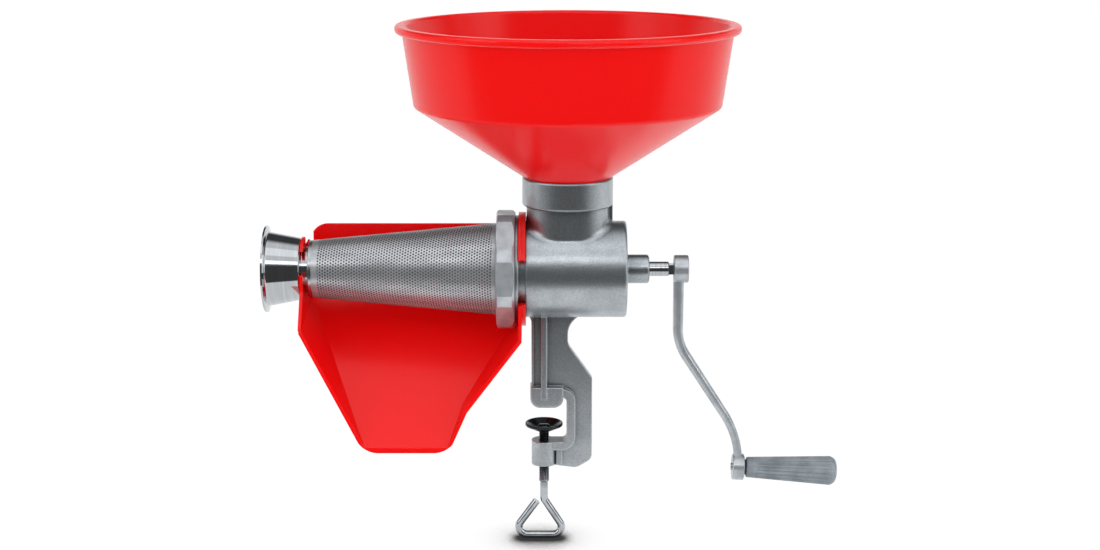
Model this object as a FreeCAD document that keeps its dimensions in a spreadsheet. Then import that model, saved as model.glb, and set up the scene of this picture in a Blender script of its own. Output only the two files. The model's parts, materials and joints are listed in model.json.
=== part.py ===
"""Hand-cranked tomato mill that clamps to a table edge, as one parametric document.

Frame, in millimetres: the origin is the middle of the jaw face that stands on the table top,
straight above the clamp screw. +X runs along the drive axis to the crank, -X to the filter
and the waste outlet, +Y away from the sauce chute's lip and +Z up.
"""
import FreeCAD
import Part
import Sketcher
import math
import os
from FreeCAD import Placement, Rotation, Vector

# Driving dimensions: name, millimetres (or degrees, where the note says so), what it is.
SIZES = (
    ("axis_height", 123.2, "drive axis above the table top"),
    ("run_clearance", 0.06, "radial play of a turning fit"),
    ("loose_clearance", 0.35, "play between pieces that come apart"),
    ("barrel_radius", 41.9, "outside of the feed barrel"),
    ("barrel_bore", 35.0, "radius of the barrel's bore"),
    ("barrel_end", 71.4, "closed end of the barrel, from the screw axis"),
    ("barrel_end_wall", 7.0, "thickness of the closed end"),
    ("barrel_end_round", 2.5, "rounded edge of the closed end"),
    ("rim_face", 22.0, "back of the thread rim, from the screw axis"),
    ("rim_width", 2.6, "thickness of the rim behind the ring nut"),
    ("rim_radius", 46.6, "outside of that rim"),
    ("hook_seat", 40.5, "radius of the turned seat behind the rim, for the guard's hook"),
    ("thread_end", 35.1, "end of the ring nut thread, from the screw axis"),
    ("thread_radius", 44.4, "outside of the ring nut thread"),
    ("shaft_boss_radius", 12.5, "bearing boss on the closed end"),
    ("shaft_boss_end", 91.4, "end of that boss, from the screw axis"),
    ("shaft_boss_round", 2.3, "fillet and edge of that boss"),
    ("feed_offset", 20.5, "hopper axis from the screw axis"),
    ("neck_radius", 35.4, "outside of the oval feed neck, along the drive axis"),
    ("neck_depth", 29.6, "outside of the feed neck, across the drive axis"),
    ("neck_bore", 25.0, "radius of the feed neck's bore"),
    ("neck_fillet", 6.0, "fillet of the neck on the barrel"),
    ("neck_rib_reach", 3.4, "rib on the crank side of the neck"),
    ("neck_rib_width", 7.0, "thickness of that rib"),
    ("collar_radius", 39.1, "outside of the hopper collar"),
    ("collar_rise", 81.0, "top of the collar above the drive axis"),
    ("collar_depth", 24.0, "height of the collar"),
    ("collar_chamfer", 1.3, "chamfer of the collar's edges"),
    ("web_thickness", 7.0, "web of the clamp frame"),
    ("flange_width", 18.0, "flange along the clamp throat"),
    ("flange_thickness", 7.5, "thickness of that flange"),
    ("column_left", 10.9, "outlet side of the column, from the screw axis"),
    ("column_right", 21.0, "crank side of the column, from the screw axis"),
    ("column_waist", 56.0, "height where the column starts to widen"),
    ("rib_thickness", 5.0, "rib down the middle of the column"),
    ("rib_width", 20.0, "that rib across the drive axis"),
    ("rib_foot", 8.0, "lower end of that rib, on the jaw foot"),
    ("column_lip", 2.2, "raised edge on the column's outlet side"),
    ("column_lip_width", 12.0, "that edge across the drive axis"),
    ("boss_rib_place", 13.5, "upright rib beside the screw boss, from the screw axis"),
    ("boss_rib_width", 12.0, "that rib across the drive axis"),
    ("frame_right", 42.3, "crank side of the clamp frame, from the screw axis"),
    ("frame_shoulder", 25.7, "height of the frame's shoulder"),
    ("frame_bottom", 56.5, "lowest point of the frame below the table top"),
    ("frame_corner", 8.0, "rounded corners of the frame"),
    ("throat_depth", 19.9, "back of the throat, from the screw axis"),
    ("throat_height", 31.6, "lower arm below the table top"),
    ("throat_round", 4.0, "inner corners of the throat"),
    ("jaw_left", 12.0, "outlet side of the jaw foot"),
    ("jaw_right", 17.0, "crank side of the jaw foot"),
    ("jaw_width", 19.0, "jaw foot across the table edge"),
    ("jaw_round", 8.2, "rounded ends of the jaw foot"),
    ("jaw_edge", 1.5, "rounded edges of the jaw foot"),
    ("jaw_height", 18.3, "height of the jaw foot"),
    ("screw_boss_radius", 11.0, "boss that the clamp screw is tapped through"),
    ("screw_boss_bottom", 53.5, "bottom of that boss below the table top"),
    ("screw_radius", 4.5, "clamp screw over its thread"),
    ("screw_thread_end", 69.5, "end of that thread below the table top"),
    ("wire_radius", 3.45, "plain rod of the clamp screw and its loop"),
    ("loop_top", 87.0, "bend of the loop below the table top"),
    ("loop_bottom", 120.5, "middle of the loop's lower leg below the table top"),
    ("loop_right", 21.6, "crank side corner of the loop"),
    ("loop_left", 29.6, "outlet side corner of the loop"),
    ("loop_bend", 7.5, "bend radius of the loop's rod"),
    ("loop_end_gap", 6.6, "cut end of the rod, from the screw axis"),
    ("pad_radius", 16.6, "clamp pad"),
    ("pad_rim", 15.7, "pad's rim below the table top"),
    ("pad_dish", 4.1, "depth of the dish inside the pad"),
    ("pad_sheet", 2.4, "thickness of the pad"),
    ("pad_flat", 8.6, "flat middle of the pad"),
    ("pad_neck", 3.2, "neck of the screw through the pad"),
    ("pad_rivet", 5.6, "riveted head of the screw inside the pad"),
    ("pad_rivet_height", 2.2, "height of that head"),
    ("hopper_height", 131.0, "rim of the hopper above the collar"),
    ("hopper_rim_radius", 146.4, "outside of the rim's bead"),
    ("hopper_bead_reach", 6.0, "bead beyond the wall"),
    ("hopper_bead_height", 6.6, "height of the bead"),
    ("hopper_bead_round", 2.6, "rounded edges of the bead"),
    ("hopper_crease_radius", 131.4, "crease between the wall and the cone"),
    ("hopper_crease_rise", 62.3, "height of the crease above the collar"),
    ("hopper_crease_round", 4.0, "rounding of the crease"),
    ("hopper_wall", 2.5, "wall of the hopper"),
    ("hopper_seat_radius", 38.0, "foot of the cone on the collar"),
    ("hopper_seat_step", 0.8, "plain edge of that foot"),
    ("spigot_radius", 33.6, "outside of the hopper's spigot"),
    ("spigot_length", 21.0, "length of the spigot below the collar's top"),
    ("nut_lip", 3.0, "lip of the ring nut over the filter's rim"),
    ("nut_right", 24.8, "crank side of the ring nut, from the screw axis"),
    ("nut_wall", 6.85, "ring nut from its thread to its corners"),
    ("nut_flat_depth", 2.1, "depth of the ring nut's flats below its corners"),
    ("nut_chamfer", 2.4, "chamfered edges of the ring nut"),
    ("nut_turn_angle", 1.6, "degrees by which a flat is turned up from the front"),
    ("gasket_thickness", 1.2, "gasket between barrel and filter"),
    ("filter_rim_thickness", 1.5, "flat rim of the filter"),
    ("filter_rim_radius", 43.6, "outside of that rim"),
    ("filter_large_radius", 40.1, "wide end of the filter cone, outside"),
    ("filter_small_radius", 25.0, "narrow end of the filter cone, outside"),
    ("filter_end", 199.8, "narrow end of the filter cone, from the screw axis"),
    ("filter_sheet", 0.8, "sheet of the filter cone"),
    ("end_ring_width", 3.4, "ring that closes the narrow end"),
    ("outlet_neck_radius", 19.5, "neck between the ring and the waste outlet"),
    ("outlet_neck_length", 6.4, "length of that neck"),
    ("outlet_sheet", 1.6, "sheet of the waste outlet"),
    ("outlet_back_radius", 26.8, "back of the waste outlet"),
    ("outlet_mouth_radius", 32.4, "mouth of the waste outlet"),
    ("outlet_length", 28.8, "waste outlet from its back to its mouth"),
    ("outlet_lip_radius", 37.7, "turned lip of the mouth"),
    ("outlet_lip_length", 2.9, "length of that lip"),
    ("shaft_radius", 6.35, "drive shaft"),
    ("shaft_start", 20.0, "inner end of the drive shaft, from the screw axis"),
    ("shaft_shoulder", 108.7, "shoulder of the shaft, from the screw axis"),
    ("shaft_square", 8.4, "square end of the shaft"),
    ("shaft_chamfer", 0.8, "chamfered ends of the shaft"),
    ("bush_wall", 2.4, "wall of the bearing bush"),
    ("seal_radius", 13.0, "shaft seal"),
    ("seal_width", 5.0, "width of the shaft seal"),
    ("washer_radius", 20.0, "thrust washer behind the auger"),
    ("washer_thickness", 1.8, "thickness of that washer"),
    ("auger_core", 13.0, "core of the auger in the barrel"),
    ("auger_tip_core", 9.0, "core of the auger at its tip"),
    ("auger_pitch", 36.0, "pitch of the auger's flight"),
    ("auger_gap", 1.0, "play between the flight and the wall around it"),
    ("auger_flight", 4.5, "thickness of the flight"),
    ("auger_tip_gap", 3.0, "auger's tip to the end of the filter"),
    ("auger_bore_depth", 44.0, "depth of the auger's shaft bore"),
    ("pin_radius", 2.0, "cross pin that drives the auger"),
    ("pin_place", 40.0, "that pin from the screw axis"),
    ("hub_start", 112.9, "inner face of the crank's hub, from the screw axis"),
    ("hub_length", 12.7, "length of the hub"),
    ("hub_radius", 12.1, "outside of the hub"),
    ("hub_edge", 1.2, "rounded edges of the hub and the eye"),
    ("grub_radius", 2.5, "grub screw in the hub"),
    ("arm_top", 117.2, "upper part of the crank arm, from the screw axis"),
    ("arm_bend_high", 66.4, "upper bend of the arm below the drive axis"),
    ("arm_bend_low", 151.7, "lower bend of the arm below the drive axis"),
    ("arm_bend_round", 45.0, "radius of the upper bend"),
    ("arm_sweep_round", 84.0, "radius of the lower bend"),
    ("arm_width_top", 9.0, "arm at the hub, along the drive axis"),
    ("arm_width_low", 6.8, "arm at the eye, along the drive axis"),
    ("arm_depth_top", 15.0, "arm at the hub, across the drive axis"),
    ("arm_depth_low", 12.0, "arm at the eye, across the drive axis"),
    ("eye_place", 172.4, "middle of the crank's eye, from the screw axis"),
    ("crank_throw", 180.2, "grip pin from the drive axis"),
    ("eye_radius", 11.6, "outside of the eye"),
    ("eye_length", 10.3, "length of the eye"),
    ("grip_splay_angle", 2.5, "degrees by which the grip leans away from the drive axis"),
    ("grip_pin_radius", 3.0, "pin that the grip turns on"),
    ("grip_pin_nub", 1.4, "riveted end of the pin behind the eye"),
    ("grip_washer_radius", 6.6, "washer between eye and grip"),
    ("grip_washer_thickness", 1.5, "thickness of that washer"),
    ("grip_length", 80.4, "grip from end to end"),
    ("grip_start_radius", 9.1, "grip at the eye"),
    ("grip_end_radius", 12.9, "grip at its far end"),
    ("grip_dome", 7.0, "domed end of the grip"),
    ("grip_head_radius", 5.4, "head of the pin in the grip's end"),
    ("grip_head_depth", 7.0, "recess for that head"),
    ("guard_sheet", 2.8, "wall of the splash guard"),
    ("guard_nut_gap", 1.6, "play between the ring nut and the guard's slope"),
    ("guard_back_gap", 2.6, "play between the ring nut and the guard's back"),
    ("guard_slope_angle", 45.0, "degrees by which the guard's floor falls to the lip"),
    ("guard_bend", 26.0, "bend between the guard's back and floor"),
    ("guard_back_height", 29.5, "top of the guard's back above the drive axis"),
    ("guard_lip_drop", 146.2, "lip of the guard below the drive axis"),
    ("guard_front", 49.5, "front of the guard's hook ahead of the drive axis"),
    ("guard_front_height", 30.0, "lower end of the guard's upright front below the drive axis"),
    ("guard_taper_left", 45.0, "start of the outlet side's taper below the drive axis"),
    ("guard_taper_right", 54.0, "start of the crank side's taper below the drive axis"),
    ("guard_lip_left", 153.5, "outlet side of the lip, from the screw axis"),
    ("guard_lip_right", 81.0, "crank side of the lip, from the screw axis"),
    ("guard_knee", 65.0, "knee of the crank side's taper, from the screw axis"),
    ("guard_knee_drop", 112.0, "that knee below the drive axis"),
    ("guard_lip_round", 22.0, "rounded corners of the lip"),
    ("guard_flare_left_angle", 3.0, "degrees by which the outlet side wall opens"),
    ("guard_flare_right_angle", 4.0, "degrees by which the crank side wall opens"),
    ("guard_hook_width", 6.0, "hook of the guard round the barrel"),
    ("guard_hook_gap_up", 17.0, "opening of that hook above the drive axis"),
    ("guard_hook_gap_down", 22.0, "opening of that hook below the drive axis"),
    ("guard_small_hook", 28.5, "outside of the hook round the outlet's neck"),
    ("guard_small_gap_up", 19.5, "opening of that hook above the drive axis"),
    ("guard_small_gap_down", 0.5, "opening of that hook below the drive axis"),
    ("guard_corner", 16.0, "rounded upper corner of the guard's back"),
)


class Dim:
    """A size that carries both its number and the sheet expression that it comes from."""

    def __init__(self, value, text):
        self.value, self.text = value, text

    def joined(self, other, sign, value):
        return Dim(value, "(%s %s %s)" % (self.text, sign, other.text))

    def __add__(self, other):
        other = dim(other)
        return self.joined(other, "+", self.value + other.value)

    def __sub__(self, other):
        other = dim(other)
        return self.joined(other, "-", self.value - other.value)

    def __mul__(self, other):
        other = dim(other)
        return self.joined(other, "*", self.value * other.value)

    def __truediv__(self, other):
        other = dim(other)
        return self.joined(other, "/", self.value / other.value)

    def __radd__(self, other):
        return dim(other) + self

    def __rsub__(self, other):
        return dim(other) - self

    def __rmul__(self, other):
        return dim(other) * self

    def __neg__(self):
        return dim(-1) * self


def dim(number):
    return number if isinstance(number, Dim) else Dim(float(number), repr(float(number)))


def tangent(angle):
    return Dim(math.tan(math.radians(angle.value)), "tan(%s)" % angle.text)


def cosine(angle):
    return Dim(math.cos(math.radians(angle.value)), "cos(%s)" % angle.text)


class Sheet:
    """The spreadsheet of driving dimensions, with one Dim for each alias."""

    def __init__(self, document):
        sheet = document.addObject("Spreadsheet::Sheet", "Sizes")
        for row, (name, value, note) in enumerate(SIZES, 1):
            sheet.set("A%d" % row, note)
            sheet.set("B%d" % row, str(value))
            sheet.setAlias("B%d" % row, name)
        document.recompute()
        for name, _, _ in SIZES:
            setattr(self, name, Dim(float(sheet.get(name)), "Sizes." + name))


doc = FreeCAD.newDocument("tomato_mill")
s = Sheet(doc)


def bind(thing, path, size):
    thing.setExpression(path, dim(size).text)


def new_body(label):
    body = doc.addObject("PartDesign::Body", label)
    body.Label = label
    return body


def new_sketch(body, name, role="XZ_Plane", shift=(0, 0, 0), turn=None):
    """A sketch on one of the body's own planes, moved and turned within that plane."""
    sketch = body.newObject("Sketcher::SketchObject", "%s_%s" % (body.Label, name))
    plane = next(item for item in body.Origin.OriginFeatures if item.Role == role)
    sketch.AttachmentSupport = (plane, [""])
    sketch.MapMode = "FlatFace"
    if turn is not None:
        sketch.AttachmentOffset = Placement(Vector(), Rotation(Vector(0, 0, 1), turn.value))
        bind(sketch, ".AttachmentOffset.Rotation.Angle", turn)
    for axis, size in zip("xyz", shift):
        if isinstance(size, Dim):
            bind(sketch, ".AttachmentOffset.Base." + axis, size)
    return sketch


def hold_point(sketch, geometry, end, x, y):
    """Tie a point of the sketch to two sizes measured from the sketch's origin."""
    for kind, size, axis in (("DistanceX", x, -2), ("DistanceY", y, -1)):
        if isinstance(size, Dim):
            tie = Sketcher.Constraint(kind, -1, 1, geometry, end, size.value)
            bind(sketch, "Constraints[%d]" % sketch.addConstraint(tie), size)
        else:
            sketch.addConstraint(Sketcher.Constraint("PointOnObject", geometry, end, axis))


def draw(sketch, corners, closed=True):
    """An outline through corners (x, y) or (x, y, radius); a corner on an axis has 0 there."""
    spots = [Vector(dim(c[0]).value, dim(c[1]).value, 0) for c in corners]
    count = len(corners)
    rounds, starts, ends = {}, list(spots), list(spots)
    for i, corner in enumerate(corners):
        if len(corner) < 3:
            continue
        back = (spots[i - 1] - spots[i]).normalize()
        ahead = (spots[(i + 1) % count] - spots[i]).normalize()
        half = back.getAngle(ahead) / 2
        reach = corner[2].value / math.tan(half)
        middle = spots[i] + (back + ahead).normalize() * (corner[2].value / math.sin(half))
        ends[i], starts[i] = spots[i] + back * reach, spots[i] + ahead * reach
        rounds[i] = middle, back.cross(ahead).z < 0
    sides = count if closed else count - 1
    lines = [sketch.addGeometry(Part.LineSegment(starts[i], ends[(i + 1) % count]))
             for i in range(sides)]
    for i, corner in enumerate(corners):
        before, after = lines[i - 1] if closed or i else None, lines[i] if i < sides else None
        if i not in rounds:
            if before is not None and after is not None:
                sketch.addConstraint(Sketcher.Constraint("Coincident", before, 2, after, 1))
            near, end = (after, 1) if after is not None else (before, 2)
            hold_point(sketch, near, end, corner[0], corner[1])
            continue
        middle, leftward = rounds[i]
        first, last = (ends[i], starts[i]) if leftward else (starts[i], ends[i])
        angles = [math.atan2(p.y - middle.y, p.x - middle.x) for p in (first, last)]
        circle = Part.Circle(middle, Vector(0, 0, 1), corner[2].value)
        arc = sketch.addGeometry(Part.ArcOfCircle(circle, *angles))
        point = sketch.addGeometry(Part.Point(spots[i]), True)
        hold_point(sketch, point, 1, corner[0], corner[1])
        from_end, to_end = (1, 2) if leftward else (2, 1)
        for tie in (("PointOnObject", point, 1, before), ("PointOnObject", point, 1, after),
                    ("Tangent", before, 2, arc, from_end), ("Tangent", after, 1, arc, to_end)):
            sketch.addConstraint(Sketcher.Constraint(*tie))
        tie = Sketcher.Constraint("Radius", arc, corner[2].value)
        bind(sketch, "Constraints[%d]" % sketch.addConstraint(tie), corner[2])
    return sketch


def draw_circle(sketch, radius, x=0, y=0):
    spot = Vector(dim(x).value, dim(y).value, 0)
    circle = sketch.addGeometry(Part.Circle(spot, Vector(0, 0, 1), radius.value))
    hold_point(sketch, circle, 3, x, y)
    tie = Sketcher.Constraint("Radius", circle, radius.value)
    bind(sketch, "Constraints[%d]" % sketch.addConstraint(tie), radius)
    return sketch


def feature(kind, sketch, name, **bound):
    """A feature made from a sketch, with the named properties bound to sizes."""
    body = sketch.getParentGeoFeatureGroup()
    made = body.newObject("PartDesign::" + kind, "%s_%s" % (body.Label, name))
    made.Profile = sketch
    for path, size in bound.items():
        bind(made, path, size)
    return made


def turn(sketch, name, axis, kind="Revolution"):
    made = feature(kind, sketch, name)
    made.ReferenceAxis = (sketch, [axis])
    made.Angle = 360
    doc.recompute()
    return made


def plate(sketch, name, width):
    """A pad that stands evenly on both sides of its sketch."""
    made = feature("Pad", sketch, name, Length=width)
    made.Midplane = True
    doc.recompute()
    return made


def through(sketch, name, both=True, reverse=False):
    made = feature("Pocket", sketch, name)
    made.Type = "ThroughAll"
    made.Midplane = both
    made.Reversed = reverse
    doc.recompute()
    return made


def pick_edges(shape, test):
    return ["Edge%d" % n for n, edge in enumerate(shape.Edges, 1) if test(edge)]


def soften(base, name, radius, test, kind="Fillet"):
    """Fillet or chamfer the edges of a feature that pass a test."""
    body = base.getParentGeoFeatureGroup()
    made = body.newObject("PartDesign::" + kind, "%s_%s" % (body.Label, name))
    made.Base = (base, pick_edges(base.Shape, test))
    bind(made, "Radius" if kind == "Fillet" else "Size", radius)
    doc.recompute()
    return made


def lathe_x(label, corners):
    """A piece turned about the drive axis, from corners (x, radius)."""
    body = new_body(label)
    sketch = new_sketch(body, "profile", shift=(0, s.axis_height))
    turn(draw(sketch, corners), "turned", "H_Axis")
    return body


def lathe_z(label, corners, x=0):
    """A piece turned about an upright axis, from corners (radius, z)."""
    body = new_body(label)
    turn(draw(new_sketch(body, "profile", shift=(x, 0)), corners), "turned", "V_Axis")
    return body


def on_grip_axis(body):
    """Place a piece that is drawn about the grip pin's own axis, with its origin in the eye."""
    body.Placement = Placement(Vector(), Rotation(Vector(0, 1, 0), s.grip_splay_angle.value))
    bind(body, "Placement.Base.x", s.eye_place)
    bind(body, "Placement.Base.z", s.axis_height - s.crank_throw)
    bind(body, "Placement.Rotation.Angle", s.grip_splay_angle)
    return body


def collar_top():
    return s.axis_height + s.collar_rise


def nut_bore():
    return s.thread_radius + s.loose_clearance


def nut_radius():
    return nut_bore() + s.nut_wall


# The casting: feed barrel, hopper neck, bearing boss and table clamp in one piece.
def build_casting():
    body = new_body("body_casting")
    axis = (0, s.axis_height)
    turn(draw(new_sketch(body, "barrel", shift=axis), (
        (-s.thread_end, 0), (-s.thread_end, s.thread_radius),
        (-s.rim_face - s.rim_width, s.thread_radius), (-s.rim_face - s.rim_width, s.rim_radius),
        (-s.rim_face, s.rim_radius), (-s.rim_face, s.barrel_radius),
        (s.barrel_end, s.barrel_radius, s.barrel_end_round),
        (s.barrel_end, s.shaft_boss_radius, s.shaft_boss_round),
        (s.shaft_boss_end, s.shaft_boss_radius, s.shaft_boss_round), (s.shaft_boss_end, 0),
    )), "barrel_turned", "H_Axis")

    top = collar_top()
    collar_foot = top - s.collar_depth
    neck = new_sketch(body, "neck", "XY_Plane", shift=(s.feed_offset, 0, s.axis_height))
    corner = s.neck_depth - s.rib_thickness / 2
    neck = feature("Pad", draw(neck, (
        (s.neck_radius, s.neck_depth, corner), (-s.neck_radius, s.neck_depth, corner),
        (-s.neck_radius, -s.neck_depth, corner), (s.neck_radius, -s.neck_depth, corner),
    )), "neck_pad", Length=collar_foot + s.collar_chamfer - s.axis_height)
    doc.recompute()
    # The neck's foot is the only edge of the neck that climbs along the round barrel.
    soften(neck, "neck_saddle", s.neck_fillet, lambda edge: (
        edge.BoundBox.ZMin > s.axis_height.value + 0.01
        and edge.BoundBox.ZMax < (s.axis_height + s.barrel_radius).value + 0.01
        and edge.BoundBox.ZLength > 0.01
        and edge.Curve.TypeId not in ("Part::GeomLine", "Part::GeomCircle")))
    turn(draw(new_sketch(body, "collar", shift=(s.feed_offset, 0)), (
        (0, collar_foot), (s.collar_radius - s.collar_chamfer, collar_foot),
        (s.collar_radius, collar_foot + s.collar_chamfer),
        (s.collar_radius, top - s.collar_chamfer / 2),
        (s.collar_radius - s.collar_chamfer / 2, top), (0, top),
    )), "collar_turned", "V_Axis")
    seat_end = -s.rim_face + s.guard_hook_width + s.loose_clearance * 2
    seat_reach = s.guard_front + s.loose_clearance
    turn(draw(new_sketch(body, "hook_seat", shift=axis), (
        (-s.rim_face, s.hook_seat), (seat_end, s.hook_seat),
        (seat_end, seat_reach), (-s.rim_face, seat_reach))), "hook_seat_cut", "H_Axis", "Groove")

    neck_side = s.feed_offset + s.neck_radius
    plate(draw(new_sketch(body, "neck_rib"), (
        (neck_side - s.neck_rib_width, s.axis_height + s.barrel_bore),
        (neck_side + s.neck_rib_reach, s.axis_height + s.barrel_bore),
        (neck_side + s.neck_rib_reach, collar_foot + s.collar_chamfer),
        (neck_side - s.neck_rib_width, collar_foot + s.collar_chamfer),
    )), "neck_rib_pad", s.neck_rib_width)

    inside_barrel = s.axis_height - s.barrel_bore
    under_barrel = s.axis_height - s.barrel_radius
    half_flange = s.flange_thickness / 2
    # The web's shoulders end a little inside the barrel, so that they cross its wall cleanly.
    sunk = s.rib_thickness / 2
    shoulder = under_barrel + sunk
    web_left = -s.column_left + s.column_lip / 2
    plate(draw(new_sketch(body, "web"), (
        (web_left - s.frame_corner, inside_barrel),
        (web_left - s.frame_corner, shoulder),
        (web_left, shoulder, s.frame_corner * 0.9),
        (web_left, s.jaw_height / 2),
        (s.throat_depth + half_flange, s.jaw_height / 2),
        (s.throat_depth + half_flange, -s.throat_height - half_flange),
        (s.screw_boss_radius / 2, -s.throat_height - half_flange),
        (s.screw_boss_radius / 2, -s.screw_boss_bottom),
        (s.frame_right - s.frame_corner * 1.7, -s.frame_bottom, s.frame_corner),
        (s.frame_right, -s.frame_bottom + s.frame_corner, s.frame_corner),
        (s.frame_right, s.frame_shoulder, s.frame_corner / 2),
        (s.column_right, s.column_waist, s.frame_corner * 1.5),
        (s.column_right, shoulder, s.frame_corner * 2 + sunk),
        (s.column_right + s.frame_corner * 3, shoulder),
        (s.column_right + s.frame_corner * 3, inside_barrel),
    )), "web_pad", s.web_thickness)

    plate(draw(new_sketch(body, "column_lip"), (
        (-s.column_left - s.frame_corner, inside_barrel),
        (-s.column_left - s.frame_corner, shoulder),
        (-s.column_left, shoulder, s.frame_corner * 0.9),
        (-s.column_left, s.jaw_height / 2),
        (-s.column_left + s.column_lip, s.jaw_height / 2),
        (-s.column_left + s.column_lip, inside_barrel),
    )), "column_lip_pad", s.column_lip_width)

    boss = new_sketch(body, "screw_boss", "XY_Plane", shift=(0, 0, -s.screw_boss_bottom))
    feature("Pad", draw_circle(boss, s.screw_boss_radius), "screw_boss_pad",
            Length=s.screw_boss_bottom - s.throat_height)
    doc.recompute()

    jaw = plate(draw(new_sketch(body, "jaw"), (
        (-s.jaw_left, s.jaw_height), (-s.jaw_left, 0, s.jaw_round),
        (s.jaw_right, 0, s.jaw_round), (s.jaw_right, s.jaw_height),
    )), "jaw_pad", s.jaw_width)
    soften(jaw, "jaw_edges", s.jaw_edge, lambda edge: (
        edge.BoundBox.YLength < 0.01 and edge.BoundBox.ZMin < s.jaw_height.value - 0.01
        and abs(abs(edge.BoundBox.YMin) - s.jaw_width.value / 2) < 0.01))

    flange_right = s.throat_depth + s.flange_thickness
    outer_round = s.throat_round + s.flange_thickness
    flange_top = s.jaw_height - s.jaw_edge
    plate(draw(new_sketch(body, "flange"), (
        (0, flange_top), (0, flange_top - s.flange_thickness),
        (s.throat_depth, flange_top - s.flange_thickness, s.throat_round),
        (s.throat_depth, -s.throat_height, s.throat_round),
        (0, -s.throat_height), (0, -s.throat_height - s.flange_thickness),
        (flange_right, -s.throat_height - s.flange_thickness, outer_round),
        (flange_right, flange_top, outer_round),
    )), "flange_pad", s.flange_width)

    rib_left = s.boss_rib_place - s.rib_thickness / 2
    rib_right = s.boss_rib_place + s.rib_thickness / 2
    plate(draw(new_sketch(body, "boss_rib"), (
        (rib_left, -s.throat_height - half_flange), (rib_left, -s.screw_boss_bottom),
        (rib_right, -s.screw_boss_bottom), (rib_right, -s.throat_height - half_flange),
    )), "boss_rib_pad", s.boss_rib_width)
    # The rib stands a little proud of the jaw foot's front and back.
    plate(draw(new_sketch(body, "column_rib"), (
        (-s.rib_thickness / 2, inside_barrel), (-s.rib_thickness / 2, s.rib_foot),
        (s.rib_thickness / 2, s.rib_foot), (s.rib_thickness / 2, inside_barrel),
    )), "column_rib_pad", s.rib_width)

    inner_end = s.barrel_end - s.barrel_end_wall
    bush_radius = s.shaft_radius + s.run_clearance + s.bush_wall
    turn(draw(new_sketch(body, "bore", shift=axis), (
        (-s.thread_end, 0), (-s.thread_end, s.barrel_bore), (inner_end, s.barrel_bore),
        (inner_end, s.seal_radius), (inner_end + s.seal_width, s.seal_radius),
        (inner_end + s.seal_width, bush_radius), (s.shaft_boss_end, bush_radius),
        (s.shaft_boss_end, 0),
    )), "bore_cut", "H_Axis", "Groove")
    socket = s.spigot_radius + s.loose_clearance
    turn(draw(new_sketch(body, "throat", shift=(s.feed_offset, 0)), (
        (0, s.axis_height), (s.neck_bore, s.axis_height),
        (s.neck_bore, top - s.spigot_length - s.loose_clearance),
        (socket, top - s.spigot_length - s.loose_clearance), (socket, top), (0, top),
    )), "throat_cut", "V_Axis", "Groove")
    hole = new_sketch(body, "screw_hole", "XY_Plane", shift=(0, 0, -s.throat_height))
    feature("Pocket", draw_circle(hole, s.screw_radius + s.run_clearance), "screw_hole_cut",
            Length=s.screw_boss_bottom - s.throat_height)
    doc.recompute()
    return body


# The drive line inside the barrel.
def build_drive():
    inner_end = s.barrel_end - s.barrel_end_wall
    bush_bore = s.shaft_radius + s.run_clearance
    lathe_x("shaft_bush", (
        (inner_end + s.seal_width, bush_bore), (inner_end + s.seal_width, bush_bore + s.bush_wall),
        (s.shaft_boss_end, bush_bore + s.bush_wall), (s.shaft_boss_end, bush_bore)))
    lathe_x("shaft_seal", (
        (inner_end, bush_bore), (inner_end, s.seal_radius),
        (inner_end + s.seal_width, s.seal_radius), (inner_end + s.seal_width, bush_bore)))
    lathe_x("thrust_washer", (
        (inner_end - s.washer_thickness, bush_bore),
        (inner_end - s.washer_thickness, s.washer_radius),
        (inner_end, s.washer_radius), (inner_end, bush_bore)))

    shaft = lathe_x("drive_shaft", (
        (s.shaft_start, 0), (s.shaft_start, s.shaft_radius - s.shaft_chamfer),
        (s.shaft_start + s.shaft_chamfer, s.shaft_radius),
        (s.shaft_shoulder - s.shaft_chamfer, s.shaft_radius),
        (s.shaft_shoulder, s.shaft_radius - s.shaft_chamfer), (s.shaft_shoulder, 0)))
    square = new_sketch(shaft, "square", "YZ_Plane", shift=(0, s.axis_height, s.shaft_shoulder))
    half = s.shaft_square / 2
    feature("Pad", draw(square, ((-half, -half), (half, -half), (half, half), (-half, half))),
            "square_pad", Length=s.hub_start + s.hub_length - s.shaft_shoulder)
    cross = new_sketch(shaft, "cross_hole", shift=(s.pin_place, s.axis_height))
    through(draw_circle(cross, s.pin_radius), "cross_hole_cut")

    pin = new_body("drive_pin")
    cross = new_sketch(pin, "profile", shift=(s.pin_place, s.axis_height))
    plate(draw_circle(cross, s.pin_radius), "pin_pad", s.auger_core * 2 - s.shaft_chamfer * 2)


def filter_inside(x):
    """Radius inside the filter cone at a place along the drive axis, as a number."""
    start, end = -(s.thread_end + s.gasket_thickness).value, -s.filter_end.value
    share = (x - start) / (end - start)
    wide, narrow = s.filter_large_radius.value, s.filter_small_radius.value
    return wide + (narrow - wide) * share - s.filter_sheet.value


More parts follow.
